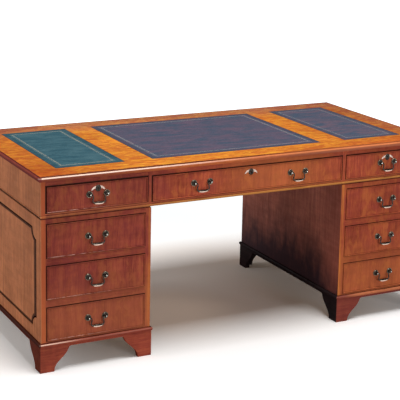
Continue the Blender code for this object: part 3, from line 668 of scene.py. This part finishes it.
def edge_wood(name):
    """Moulded edge, with painted shade in the groove under the surface and under the nosing at the
    left, a painted highlight along the front left, painted light above and shade below at the right,
    and painted shade at the left and right.
    """
    look = Look(name)
    colour, height = grain(look, 0, EDGE, 0.2)
    below = look.minus(TOP_HIGH.z, look.z)
    right = look.range(look.x, -0.20, 0.40)
    shade_under_nosing = look.times(look.range(look.x, -0.80, -0.25, 0.85, 0.0),
                        look.range(below, 0.0080, 0.0100))
    # Painted light on the upper part of the moulding at the right, painted shade on its lower part
    lit_ruddy = look.times(right, look.range(below, 0.0085, 0.0115, 0.70, 0.0))
    shaded_lower = look.times(right, look.range(below, 0.0085, 0.0115, 0.0, 0.60))
    quirk_shade = look.times(look.range(below, 0.0038, 0.0052, 1.0, 0.0),
                       look.range(look.x, -0.30, 0.40, 0.80, 0.45))
    painted_highlight = look.times(look.line(below, 0.0070, 0.0042, 0.0008),
                      look.range(look.x, -0.62, 0.10, 1.0, 0.05),
                      look.math("LESS_THAN", look.y, TOP_LOW.y + 0.012))
    # Painted shade on the moulding at the left and right of the top
    side = look.times(look.above(look.size(look.x), TOP_HIGH.x - 0.012), 0.8)
    colour = look.layered(
        colour, (shade_under_nosing, (0.190, 0.040, 0.030)), (lit_ruddy, (0.720, 0.215, 0.065)),
        (shaded_lower, (0.340, 0.122, 0.088)), (quirk_shade, (0.065, 0.018, 0.010)),
        (painted_highlight, (1.0, 0.78, 0.66)), (side, (0.190, 0.034, 0.036)))
    return varnish(look, colour, height, 0.24, 0.08)


def plinth_wood(name):
    """Level grain, wine-dark at the right; the moulding has a painted highlight at the front left and
    painted light at the right, a dark joint line with painted shade at its top, and painted shade on
    the sides.
    """
    look = Look(name)
    colour, height = grain(look, 0, RED, 0.25, seed=1.9)
    below = look.minus(PLINTH_TOP, look.z)
    # Painted highlight on the moulding at the front left
    painted_highlight = look.times(look.line(below, 0.0044, 0.0040, 0.0008),
                      look.range(look.x, -0.86, -0.72, 0.85, 0.10),
                      look.math("LESS_THAN", look.y, FRONT_Y - 0.0035))
    wine = look.range(look.x, 0.30, 0.50, 0.0, 0.45)
    lit = look.times(look.range(look.x, 0.46, 0.56), look.range(below, 0.011, 0.015, 0.65, 0.0))
    # Painted shade on the sides; the line at the top is a dark joint, darkened further as painted shade
    side = look.times(look.above(look.size(look.x), CARCASS_X + 0.0035),
                      look.range(below, 0.015, 0.020, 0.85, 0.50))
    dark = look.most(look.range(below, 0.0, 0.0015, 0.8, 0.0), side)
    colour = look.layered(colour, (painted_highlight, (0.90, 0.62, 0.48)), (wine, (0.110, 0.026, 0.030)),
                          (lit, (0.640, 0.210, 0.085)), (dark, LINE_DARK))
    return varnish(look, colour, height, 0.30, 0.1)


def top_veneer(name):
    """Orange veneer with red flecks, with painted shade at the left and right, at the back and at the
    front left, and darker along the front at the right.
    """
    look = Look(name)
    colour, height = grain(look, 0, ORANGE, 0.22)
    fleck = look.noise(look.place, (16, 60, 16), 4.0, 0.65, 1.2)
    colour = look.layered(colour,
                          (look.range(fleck, 0.50, 0.58, 0.0, 0.70), (0.470, 0.105, 0.022)),
                          (look.range(fleck, 0.40, 0.48, 0.60, 0.0), (0.800, 0.380, 0.035)))
    shaded_ends = look.most(look.range(look.x, TOP_LOW.x, TOP_LOW.x + 0.50, 0.56, 0.0),
                     look.range(look.x, TOP_HIGH.x - 0.66, TOP_HIGH.x - 0.10, 0.0, 0.60))
    # Painted shade, duller and greyer, at the back and at the far right
    far = look.most(look.range(look.y, TOP_HIGH.y - 0.26, TOP_HIGH.y - 0.02, 0.0, 0.80),
                    look.range(look.x, TOP_HIGH.x - 0.14, TOP_HIGH.x - 0.04, 0.0, 0.50))
    brink = look.times(look.range(look.x, 0.0, TOP_HIGH.x, 0.0, 0.80),
                       look.range(look.y, TOP_LOW.y + 0.02, TOP_LOW.y + 0.11, 1.0, 0.0))
    shaded_corner = look.range(look.distance((TOP_LOW.x, TOP_LOW.y, TOP_HIGH.z)), 0.05, 0.26, 0.70, 0.0)
    colour = look.layered(
        colour, (shaded_ends, (0.62, 0.47, 0.60)), (far, (0.59, 0.69, 3.10)), (brink, (0.86, 0.56, 0.85)),
        (shaded_corner, (0.78, 0.44, 0.50)), blend="MULTIPLY")
    return varnish(look, colour, height, 0.26, 0.10)


def kneehole_veneer(name):
    """Upright red-brown grain with painted shade that darkens it towards the floor, less at the front
    and the back where the kneehole is open, and painted light that makes it redder at the front.
    """
    look = Look(name)
    colour, height = grain(look, 2, KNEEHOLE, 0.34, seed=3.1)
    streak = look.noise(look.place, (1, 16, 6), 5.0, 0.65, 0.6)
    level = look.plus(look.z, look.times(look.minus(streak, 0.5), 0.28),
                      look.range(look.y, FRONT_Y, FRONT_Y + 0.24, 0.17, 0.0),
                      look.range(look.y, MIDDLE_Y, MIDDLE_Y + CARCASS_Y, 0.0, 0.06))
    # Painted shade towards the floor of the kneehole
    dark = look.range(level, 0.17, 0.45, 0.92, 0.0)
    lit_ruddy = look.range(look.y, FRONT_Y, FRONT_Y + 0.24, 0.40, 0.0)
    colour = look.layered(colour, (lit_ruddy, (0.360, 0.085, 0.060)), (dark, (0.020, 0.018, 0.032)))
    return varnish(look, colour, height, 0.34, 0.1)


def leather(name, node, tones, line):
    """Fine-grained hide with a gilt roll and two gilt lines, and a blind line at its edge."""
    look = Look(name)
    inside, _ = look.edge_distance(look.x, look.y, middle_of(node).xy, half_of(node).xy)
    cloud = look.noise(look.place, (9, 26, 9), 5.0, 0.65, 0.5)
    fleck = look.noise(look.place, (120, 300, 120), 4.0, 0.65)
    colour = look.mix(look.range(cloud, 0.35, 0.65), *tones)
    colour = look.toned(colour, look.range(fleck, 0.3, 0.7, 0.76, 1.24, smooth=False))
    diamond = look.plus(*[
        look.apart(look.math("FLOORED_MODULO", value, ROLL_PITCH), ROLL_PITCH / 2)
        for value in (look.x, look.y)])
    roll = look.times(look.line(inside, 0.0300, 0.0056),
                      look.range(diamond, 0.0017, 0.0022, 0.5, 0.0))
    lines = [look.line(inside, 0.0355, 0.0018), look.line(inside, 0.0400, 0.0008)]
    wear = look.range(look.noise(look.place, 90.0, 4.0, 0.6), 0.30, 0.52)
    gilt = look.times(look.most(*lines, roll), wear)
    rim = look.range(inside, 0.0240, 0.0270, 0.28, 0.0)
    blind = look.line(inside, 0.0015, 0.0030)
    colour = look.layered(colour, (rim, (0.010, 0.030, 0.045)),
                          (look.times(blind, 0.6), (0.01, 0.012, 0.02)), (gilt, line))
    cells = look.node("TexVoronoi", {"Vector": look.place, "Scale": 900.0},
                      feature="DISTANCE_TO_EDGE")
    height = look.minus(look.range(cells, 0.0, 0.12), look.times(look.most(gilt, blind), 0.8))
    rough = look.range(cloud, 0.3, 0.7, 0.42, 0.56)
    return look.set(Base_Color=colour, Roughness=look.blend(gilt, rough, 0.35),
                    Metallic=look.times(gilt, 0.6), Normal=look.bump(height, 0.00012, 0.55),
                    Specular_IOR_Level=0.0, Coat_Weight=0.05, Coat_Roughness=0.45)


def brass(name, light, roughness, patina, dark=BRONZE):
    """Cast brass with dark patina in patches."""
    look = Look(name)
    cloud = look.noise(look.place, 160.0, 5.0, 0.65)
    grit = look.noise(look.place, 1500.0, 3.0, 0.6)
    mask = look.times(look.range(cloud, 0.35, 0.62), patina)
    colour = look.mix(mask, light, dark)
    rough = look.range(cloud, 0.3, 0.7, roughness - 0.06, roughness + 0.10)
    return look.set(Base_Color=colour, Metallic=1.0, Roughness=rough,
                    Normal=look.bump(grit, 0.00006, 0.4))


def raw_wood(name, along, tones, seed=0.0):
    look = Look(name)
    colour, height = grain(look, along, tones, 0.18, seed)
    return look.set(Base_Color=colour, Roughness=0.62, Normal=look.bump(height, 0.0002, 0.8),
                    Specular_IOR_Level=0.25)


LOOKS = {
    "pedestal_front": beaded_front("pedestal_drawer_veneer", "right_lower_drawer_front", PITCH),
    "outer_front": beaded_front("outer_frieze_drawer_veneer", "frieze_right_drawer_front"),
    "centre_front": beaded_front("centre_frieze_drawer_veneer", "frieze_centre_drawer_front"),
    "pedestal_frame": framed_veneer(
        "pedestal_frame_veneer", [face_of("right_lower_drawer_front", DRAWER_GAP)], 0.0014,
        pitch=PITCH, sapwood=PEDESTAL_X - PEDESTAL_HALF + 0.006),
    "frieze_frame": framed_veneer(
        "frieze_frame_veneer", [face_of("frieze_right_drawer_front", DRAWER_GAP),
                                face_of("frieze_centre_drawer_front", DRAWER_GAP)], 0.0042,
        bead_top=FRIEZE_FOOT + FRIEZE_BEAD_HEIGHT),
    "panelled_side": panel_veneer("panelled_side_veneer", "y", (MIDDLE_Y, PANEL_Z),
                                  (CARCASS_Y - PANEL_MARGIN, PANEL_HALF_HEIGHT), SIDE_SHADE),
    "panelled_back": panel_veneer("panelled_back_veneer", "x", (PEDESTAL_X, PANEL_Z),
                                  (PEDESTAL_HALF - PANEL_MARGIN, PANEL_HALF_HEIGHT), BACK_SHADE),
    "kneehole": kneehole_veneer("kneehole_veneer"),
    # Painted shadow: a dark wood for the pedestal tops, where the gap under the frieze is in shade
    "shadow": plain_veneer("joint_wood", 1, DARK, 0.5, 0.0, seed=2.2),
    "ebonised": plain_veneer("ebonised_line", 2, EBONY, 0.5, 0.0),
    "level_brown_x": plain_veneer("frieze_back_veneer", 0, BROWN, seed=0.2),
    "frieze_side": footed_veneer("frieze_side_veneer", FRIEZE_FOOT + FRIEZE_SEAM_SHADOW),
    "top": top_veneer("top_veneer"),
    "top_edge": edge_wood("top_edge_wood"),
    "plinth": plinth_wood("plinth_wood"),
    "plinth_dark": plain_veneer("kneehole_plinth_wood", 1, SHADED_PLINTH_TONES, 0.34, 0.1, seed=1.2),
    "lining_x": raw_wood("lining_wood_x", 0, PLAIN),
    "lining_y": raw_wood("lining_wood_y", 1, PLAIN, 0.7),
    "teal": leather("teal_hide", "leather_left", ((0.032, 0.092, 0.124), (0.062, 0.138, 0.170)),
                    (0.450, 0.395, 0.270)),
    "purple_centre": leather("purple_hide_centre", "leather_centre", PURPLE, (0.380, 0.375, 0.350)),
    "purple_right": leather("purple_hide_right", "leather_right", SLATE, (0.215, 0.250, 0.258)),
    "brass": brass("antique_brass", (0.26, 0.21, 0.15), 0.26, 0.60),
    "brass_dark": brass("tarnished_brass", (0.042, 0.033, 0.027), 0.22, 0.8),
    "brass_tip": brass("worn_brass", (0.46, 0.43, 0.38), 0.26, 0.0),
    "brass_arm": brass("rubbed_brass", (0.070, 0.046, 0.039), 0.24, 0.7),
    "plate": brass("plate_brass", (0.62, 0.43, 0.35), 0.28, 0.50),
    "brass_grip": brass("polished_brass", (0.82, 0.62, 0.51), 0.30, 0.18),
    "lock": brass("lock_brass", (0.66, 0.50, 0.24), 0.34, 0.5, dark=(0.30, 0.21, 0.09)),
}


# Top and leathers

TOP_PROFILE = [
    (0.0068, 0.0), (0.0068, 0.0016),
    *arc(0.0090, 0.0090, 0.0090, 235, 180, 5),
    *arc(0.0062, 0.0122, 0.0062, 180, 96, 8),
    (0.0060, 0.0184), (0.0072, 0.0178), (0.0076, 0.0212), (0.0082, 0.0219), (0.0092, 0.0220),
]
HIDES = {
    "leather_left": ("teal", "teal_leather"),
    "leather_centre": ("purple_centre", "purple_leather"),
    "leather_right": ("purple_right", "purple_leather"),
}
HIDE_GAP = 0.0004


def make_top():
    mesh = slab("top_shown", (0, MIDDLE_Y, TOP_LOW.z), half_of("top_board").xy, TOP_PROFILE)
    top = piece("top_shown", mesh, "desk", ("top", "top_edge"), "top_board")
    paint(top, lambda face: int(face.center.z <= TOP_HIGH.z - 0.0003))
    less, more = (HIDE_GAP, HIDE_GAP, 0.0003), (HIDE_GAP, HIDE_GAP, 0.01)
    carve(top, [box_mesh(name + "_recess", *grown(name, less, more)) for name in HIDES])
    for name, (look, slot) in HIDES.items():
        hide = piece(name + "_shown", box_mesh(name, *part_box(name)), "desk", look, name)
        soften(hide, 0.0005)


# Frieze and pedestals

BOARD_THICKNESS = 0.020
FRIEZE_BOARDS = (
    ("frieze_back", "back", "level_brown_x", "side_veneer"),
    ("frieze_side_left", "left", "frieze_side", "side_veneer"),
    ("frieze_side_right", "right", "frieze_side", "side_veneer"),
    ("frieze_front_frame", "front", "frieze_frame", "front_veneer"),
)


def make_frieze():
    tall = high("frieze_back").z - FRIEZE_FOOT
    turns = [math.pi * i / 10 for i in range(11)]
    bead = [(FRIEZE_BEAD_REACH * math.sin(a), FRIEZE_BEAD_HEIGHT * (1 - math.cos(a)) / 2)
            for a in turns]
    profile = [(-BOARD_THICKNESS, 0.0), *bead, (0.0, tall), (-BOARD_THICKNESS, tall)]
    for node, side, look, slot in FRIEZE_BOARDS:
        half, reach = CARCASS_X, CARCASS_Y
        if side in ("left", "right"):
            half, reach = reach, half
        mesh = side_board(node, side, profile, half, reach, (0, MIDDLE_Y, FRIEZE_FOOT))
        item = piece(node + "_shown", mesh, "desk", look, node)
        if side == "front":
            carve(item, frieze_holes(), 0.0006)


def frieze_holes():
    """Openings for the drawers, and slots for the bolts of their locks."""
    gap = (DRAWER_GAP, 0.03, DRAWER_GAP)
    holes = []
    for name in ("frieze_left", "frieze_centre", "frieze_right"):
        slot = grown(name + "_lock_bolt", (0.001, 0.001, 0), (0.001, 0.001, 0.0113))
        holes += [box_mesh(name + "_hole", *grown(name + "_drawer_front", gap, gap)),
                  box_mesh(name + "_slot", *slot)]
    return holes


GROOVE_DEPTH = 0.0050
MOULDING_RADIUS = 0.0036
MOULDING_INSET = 0.0046


def panel_line(a, b):
    """A rectangle of half sizes a and b with hollow corners."""
    r = PANEL_CORNER
    return [*arc(a, b, r, 270, 180, 10), *arc(-a, b, r, 360, 270, 10),
            *arc(-a, -b, r, 90, 0, 10), *arc(a, -b, r, 180, 90, 10)]


def panelled(node, side, half_length, reach, centre_x, look):
    """A board with the panel moulding let into its outer face."""
    item = refined(node, (look, "ebonised"))
    angle = math.radians(FACING[side])
    outward = Vector((math.cos(angle), math.sin(angle), 0))
    middle = Vector((centre_x, MIDDLE_Y, PANEL_Z))
    surface = outward.dot(middle) + reach

    def in_groove(face):
        depth = surface - outward.dot(face.center)
        return 0.0002 < depth < GROOVE_DEPTH and abs(face.normal.z) < 0.99 and face.area < 0.01

    paint(item, lambda face: int(in_groove(face)))
    outline = panel_line(half_length - PANEL_MARGIN, PANEL_HALF_HEIGHT)
    radii = [MOULDING_RADIUS] * len(outline)
    mesh = rod(node + "_moulding", [(x, 0, z) for x, z in outline], radii, radii, 10, closed=True)
    mesh.transform(Matrix.Rotation(angle + math.pi / 2, 4, "Z"))
    mesh.transform(Matrix.Translation(middle + outward * (reach - MOULDING_INSET)))
    piece(node + "_moulding", mesh, "desk", "ebonised")


FOOT_LENGTH = 0.128
APRON_HEIGHT = 0.023
# One bracket foot from the floor up to the apron, in shares of its length and height
FOOT_SHARES = (
    (0.453, 0.00), (0.469, 0.146), (0.500, 0.245), (0.547, 0.333), (0.656, 0.479),
    (0.773, 0.625), (0.859, 0.760), (0.914, 0.896), (0.945, 0.969), (1.000, 1.00),
)
PLINTH_THICKNESS = 0.018
PLINTH_REACH = 0.005
PLINTH_LIP_REACH = 0.0092
PLINTH_LIP_RADIUS = 0.008
LIP_TURNS = [math.radians(a) for a in range(80, -31, -10)]
PLINTH_PROFILE = [
    (-PLINTH_THICKNESS, PLINTH_TOP), (0.0, PLINTH_TOP),
    *[(PLINTH_LIP_REACH * math.cos(a) ** 0.7,
       PLINTH_TOP - PLINTH_LIP_RADIUS * (1 - math.sin(a))) for a in LIP_TURNS],
    (0.0058, PLINTH_TOP - 0.0150), (PLINTH_REACH, PLINTH_TOP - 0.0160),
    (PLINTH_REACH, 0.0), (-PLINTH_THICKNESS, 0.0),
]


def foot_outline(half):
    """The opening between two bracket feet, seen straight on."""
    right = [(half + PLINTH_REACH - along * FOOT_LENGTH, up * (PLINTH_TOP - APRON_HEIGHT))
             for along, up in spline(FOOT_SHARES, 4)]
    left = [(-x, z) for x, z in reversed(right)]
    return [(right[0][0], -0.01), *right, *left, (left[-1][0], -0.01)]


def make_plinth(side, centre_x):
    """Base moulding with bracket feet, in a painted-shade copy of its wood where it faces the kneehole
    or the back.
    """
    node = "pedestal_%s_plinth" % side
    centre = (centre_x, MIDDLE_Y, 0)
    mesh = ring_board(node, PLINTH_PROFILE, PEDESTAL_HALF, CARCASS_Y, centre)
    item = piece(node + "_shown", mesh, "desk", ("plinth", "plinth_dark"), node)
    openings = []
    for label, half, through, turn in (("a", PEDESTAL_HALF, CARCASS_Y, 0.0),
                                       ("b", CARCASS_Y, PEDESTAL_HALF, math.pi / 2)):
        depths = ((1, -through - 0.02), (1, through + 0.02))
        mesh = prism(node + label, foot_outline(half), depths)
        mesh.transform(Matrix.Translation(centre) @ Matrix.Rotation(turn, 4, "Z"))
        openings.append(mesh)
    carve(item, openings, 0.0007)

    # Faces that get the painted-shade copy of the wood
    def dark(face):
        at_back = face.center.y > 0
        reach = FOOT_LENGTH if at_back else 0.002
        inner = abs(face.center.x) < PEDESTAL_X - PEDESTAL_HALF + reach
        hidden = at_back and face.normal.y < -0.5
        return hidden or inner and (face.normal.x * centre_x < -0.02 or at_back)

    paint(item, lambda face: int(dark(face)))


def make_pedestals():
    for side, sign in (("left", -1), ("right", 1)):
        name = "pedestal_" + side
        centre_x = sign * PEDESTAL_X
        refined(name + "_front_frame", "pedestal_frame")
        panelled(name + "_back", "back", PEDESTAL_HALF, CARCASS_Y, centre_x, "panelled_back")
        panelled(name + "_outer_side", side, CARCASS_Y, PEDESTAL_HALF, centre_x, "panelled_side")
        refined(name + "_inner_side", "kneehole")
        # The top board is painted dark as the shadow in the gap under the frieze
        refined(name + "_top", "shadow")
        refined(name + "_bottom", "lining_y")
        make_plinth(side, centre_x)
    refined("frieze_drawer_board", "lining_x")


# Drawers and their brass

COCKBEAD = [(0.0, 0.0), (0.0, 0.0200), *arc(0.0021, 0.0200, 0.0021, 170, 20, 8),
            (COCKBEAD_WIDTH, 0.0190)]
DRAWER_BACK = 0.019
HALF_SPACING = 0.036
POST_PROFILE = [
    (0.0, 0.0176), (0.0012, 0.0176), (0.0024, 0.0174), (0.0034, 0.0170), (0.0045, 0.0162),
    (0.0053, 0.0152), (0.0059, 0.0138), (0.0060, 0.0124), (0.0059, 0.0111), (0.0054, 0.0098),
    (0.0046, 0.0086), (0.0038, 0.0076), (0.0035, 0.0066), (0.0036, 0.0056), (0.0042, 0.0048),
    (0.0052, 0.0042),
]
ROSE_PROFILE = [
    (0.0052, 0.0042), (0.0066, 0.0034), (0.0084, 0.0024), (0.0098, 0.0021), (0.0106, 0.0026),
    (0.0114, 0.0033), (0.0123, 0.0034), (0.0130, 0.0027), (0.0134, 0.0014), (0.0135, 0.0004),
    (0.0135, 0.0), (0.0, 0.0),
]
ROSE_RIM = 0.0104
# Depth beyond which the post's tip is painted as a highlight
WORN_HIGHLIGHT_TIP = 0.0173
GRIP_REACH = 0.0205
GRIP_SHADE = 0.10
BAIL_SHOULDER = 0.0282
BAIL_DROP = 0.0340
BAIL_PIN_END = 0.0342
ARM_RADIUS = 0.0025
GRIP_RADIUS = 0.0050
GRIP_BULGE = 0.0010
GRIP_END = 0.85
PIN_RADIUS = 0.0017
# From the shoulder to the lowest point, in shares of the shoulder's reach and of the drop
BAIL_SHARES = (
    (0.930, 0.05), (0.865, 0.17), (0.855, 0.34), (0.905, 0.54), (0.940, 0.73), (0.820, 0.90),
    (0.470, 0.985), (0.0, 1.0),
)
# The right half of the plate from top to foot, in shares of its half size
PLATE_SHARES = (
    (0.0, 1.00), (0.17, 0.92), (0.34, 0.70), (0.58, 0.54), (0.82, 0.16), (1.00, -0.50),
    (0.84, -0.46), (0.62, -0.14), (0.44, -0.10), (0.37, -0.42), (0.24, -0.82), (0.0, -1.00),
)
PLATE_DEPTHS = ((1, -0.0003), (1, -0.0014), (0.97, -0.0021))
BOSS_DEPTHS = ((1, -0.0020), (0.96, -0.0026), (0.84, -0.0029))
BOSS_SHARE = 0.40
KEYHOLE_RADIUS = 0.0030
KEYHOLE_SLOT = 0.0015
KEYHOLE_FOOT = 0.0085


def keyhole(name, place):
    """The tool that cuts a keyhole from before the plate into the drawer's front."""
    start = math.degrees(math.asin(KEYHOLE_SLOT / KEYHOLE_RADIUS)) - 90
    outline = [*arc(0, 0, KEYHOLE_RADIUS, start, 180 - start, 20),
               (-KEYHOLE_SLOT, -KEYHOLE_FOOT), (KEYHOLE_SLOT, -KEYHOLE_FOOT)]
    return prism(name, outline, ((1, -0.01), (1, 0.0115)), place)


def make_post(label, place, body):
    """A turned post whose tip is wear-brightened brass painted as a highlight, in a rosette with a
    bright rim.
    """
    post = piece(label, lathe(label, POST_PROFILE, place), body, ("brass_dark", "brass_tip"))
    paint(post, lambda face: int(FRONT_Y - face.center.y > WORN_HIGHLIGHT_TIP))
    rose = piece(label + "_rose", lathe(label, ROSE_PROFILE, place), body,
                 ("brass_dark", "brass"))
    paint(rose, lambda face: int(
        math.hypot(face.center.x - place[0], face.center.z - place[2]) > ROSE_RIM))


def make_handle(node, body):
    """A bail and the two posts it hangs on."""
    x, hinge_y, hinge_z = HINGES[NODES[node]["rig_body"]]
    for label, sign in (("_post_left", -1), ("_post_right", 1)):
        make_post(node + label, (x + sign * HALF_SPACING, FRONT_Y, hinge_z), body)
    arm = [(a * BAIL_SHOULDER, -d * BAIL_DROP) for a, d in BAIL_SHARES]
    half = spline([(BAIL_PIN_END, 0.0), (BAIL_SHOULDER, 0.0), *arm], 6)
    path = [*half, *[(-a, d) for a, d in reversed(half[:-1])]]
    radii, depths = [], []
    for a, d in path:
        across = abs(a) / BAIL_SHOULDER
        grip = max(0.0, 1 - across * across) * (-d / BAIL_DROP)
        wide, deep = GRIP_RADIUS + GRIP_BULGE - ARM_RADIUS, GRIP_RADIUS - ARM_RADIUS
        radii.append(ARM_RADIUS + wide * grip if d else PIN_RADIUS)
        depths.append(ARM_RADIUS + deep * grip if d else PIN_RADIUS)
    points = [(x + a, hinge_y, hinge_z + d) for a, d in path]
    bail = piece(node + "_shown", rod(node, points, radii, depths, 24), NODES[node]["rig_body"],
                 ["brass_arm", "brass_grip", "brass", "brass_dark"],
                 node)

    # The grip is painted as lit and shaded: bright polished brass below as a painted reflection, dark
    # brass on its upper half as painted shade, and middling brass towards its tips
    def part(face):
        reach = abs(face.center.x - x) / GRIP_REACH
        if hinge_z - face.center.z <= BAIL_DROP - GRIP_RADIUS or reach >= 1:
            return 0
        return 3 if face.normal.z > GRIP_SHADE else 1 if reach < GRIP_END else 2

    paint(bail, part)


def make_lock(name, body, front):
    """The plate with its boss, the keyhole through all of them, and the lock behind."""
    plate = name + "_escutcheon"
    wide, tall = half_of(plate).x, half_of(plate).z
    place = Vector((middle_of(plate).x, FRONT_Y, middle_of(plate).z))
    bed = grown(name + "_lock_case", (0.0005, 0.0003, 0.0003), (0.0005, 0.01, 0.01))
    carve(front, [keyhole(name + "_hole", place), box_mesh(name + "_bed", *bed)])
    right = [(x * wide, z * tall) for x, z in PLATE_SHARES]
    outline = spline(right + [(-x, z) for x, z in reversed(right[1:-1])], 5, closed=True)
    oval = [(BOSS_SHARE * wide * math.cos(a), tall * math.sin(a)) for a in circle(40)]
    shown = piece(plate + "_shown", prism(plate, outline, PLATE_DEPTHS, place), body,
                  "plate", plate)
    boss = piece(plate + "_boss", prism(plate + "_boss", oval, BOSS_DEPTHS, place), body,
                 "brass_dark")
    carve(shown, [keyhole(name + "_plate_hole", place)])
    carve(boss, [keyhole(name + "_boss_hole", place)])
    refined(name + "_lock_case", "lock", 0.0004)
    refined(name + "_lock_bolt", "lock", 0.0004)


def make_drawers():
    for name, body in DRAWERS.items():
        node = name + "_drawer_front"
        place = (middle_of(node).x, FRONT_Y + DRAWER_BACK, middle_of(node).z)
        in_frieze = name.startswith("frieze")
        look = "outer_front" if in_frieze else "pedestal_front"
        if name == "frieze_centre":
            look = "centre_front"
        mesh = slab(node, place, half_of(node).xz, COCKBEAD, upright=True)
        front = piece(node + "_shown", mesh, body, look, node)
        for bail in [n for n in NODES if n.startswith(name + "_bail")]:
            make_handle(bail, body)
        refined(name + "_drawer_box", "lining_y")
        if in_frieze:
            make_lock(name, body, front)


make_top()
make_frieze()
make_pedestals()
make_drawers()


# Floor, light and camera

WARM = (1.0, 0.75, 0.55)
COOL = (0.70, 0.90, 1.0)
WHITE = (1.0, 1.0, 1.0)


def make_floor():
    """Pale and matt. Where it is shown it glows, weakly by the desk and fully far from it."""
    bm = bmesh.new()
    bmesh.ops.create_grid(bm, x_segments=1, y_segments=1, size=30)
    bmesh.ops.translate(bm, verts=bm.verts, vec=(0, 0, -0.0002))
    floor = new_object("floor", to_mesh(bm, "floor", smooth=False))
    look = Look("floor")
    tone = look.range(look.noise(look.place, 2.0, 2.0), 0.3, 0.7, 0.56, 0.58)
    shown = look.shown()
    colour = look.mix(shown, look.node("CombineXYZ", {0: tone, 1: tone, 2: tone}), WHITE)
    away = look.distance((0, 0.15, 0))
    knees = look.distance((-0.20, -0.04, 0))
    beyond = look.most(look.range(look.y, -0.60, -0.35, 1.0, 0.0),
                       look.range(look.y, 0.75, 1.05))
    # Painted light: besides whitening the far floor, the glow lifts the shadow between the pedestals
    # and is tinted cool in front of and behind the desk
    glow = look.plus(look.range(away, 0.45, 1.0, 0.03, 0.13), look.range(away, 1.2, 4.0),
                     look.range(knees, 0.10, 0.42, 0.09, 0.0), look.times(beyond, 0.05),
                     look.range(look.y, 0.55, 0.90, 0.0, 0.09))
    tint = look.mix(beyond, look.mix(look.range(away, 0.5, 1.0), WARM, WHITE), COOL)
    floor.data.materials.append(look.set(
        Base_Color=colour, Roughness=0.9, Specular_IOR_Level=0.0, Emission_Color=tint,
        Emission_Strength=look.times(shown, glow)))


def make_world():
    """White where it is shown, and a weak warm fill on the desk."""
    world = bpy.data.worlds.new("studio")
    bpy.context.scene.world = world
    world.use_nodes = True
    world.node_tree.nodes.clear()
    sky = Nodes(world.node_tree)
    fill = sky.node("Background", {"Color": (1.0, 0.84, 0.70, 1), "Strength": 0.18})
    white = sky.node("Background", {"Color": (*WHITE, 1), "Strength": 1.0})
    output = world.node_tree.nodes.new("ShaderNodeOutputWorld")
    sky.feed(output.inputs[0], sky.node("MixShader", {0: sky.shown(), 1: fill, 2: white}))


def make_lamp(name, kind, power, ahead, place=(0, 0, 0), **settings):
    data = bpy.data.lights.new(name, kind)
    data.energy = power
    for key, value in settings.items():
        setattr(data, key, value)
    lamp = new_object(name, data)
    lamp.location = place
    lamp.rotation_euler = Vector(ahead).to_track_quat("-Z", "Y").to_euler()


AZIMUTH, ELEVATION, ROLL = 0.47638, 0.19073, 0.02022
CAMERA_PLACE = (-2.52403, -4.85424 + MIDDLE_Y, 1.98770)
FOCAL_PIXELS, PICTURE_PIXELS = 1289.627, 400
SENSOR_WIDTH = 36


def make_camera():
    level = Vector((math.sin(AZIMUTH), math.cos(AZIMUTH), 0))
    ahead = level * math.cos(ELEVATION) - Vector((0, 0, math.sin(ELEVATION)))
    right = ahead.cross(Vector((0, 0, 1))).normalized()
    up = right.cross(ahead)
    turned_right = right * math.cos(ROLL) + up * math.sin(ROLL)
    turned_up = up * math.cos(ROLL) - right * math.sin(ROLL)
    data = bpy.data.cameras.new("camera")
    data.sensor_width = SENSOR_WIDTH
    data.lens = FOCAL_PIXELS / PICTURE_PIXELS * SENSOR_WIDTH
    data.shift_y = -0.25
    data.clip_end = 100
    camera = new_object("camera", data)
    matrix = Matrix((turned_right, turned_up, -ahead)).transposed().to_4x4()
    matrix.translation = CAMERA_PLACE
    camera.matrix_world = matrix
    bpy.context.scene.camera = camera


make_floor()
make_world()
make_lamp("key", "AREA", 290, (0.0, 1.2, -6.0), (0.1, -1.4, 6.0), size=2.8)
make_lamp("front", "SUN", 1.4, (-0.25, 1.0, -0.08), angle=math.radians(24))
make_lamp("left_back", "AREA", 16, (2.1, -1.0, -0.8), (-2.6, 1.2, 1.2), shape="RECTANGLE",
          size=1.2, size_y=0.9)
make_camera()
bpy.context.scene.view_settings.view_transform = "Standard"
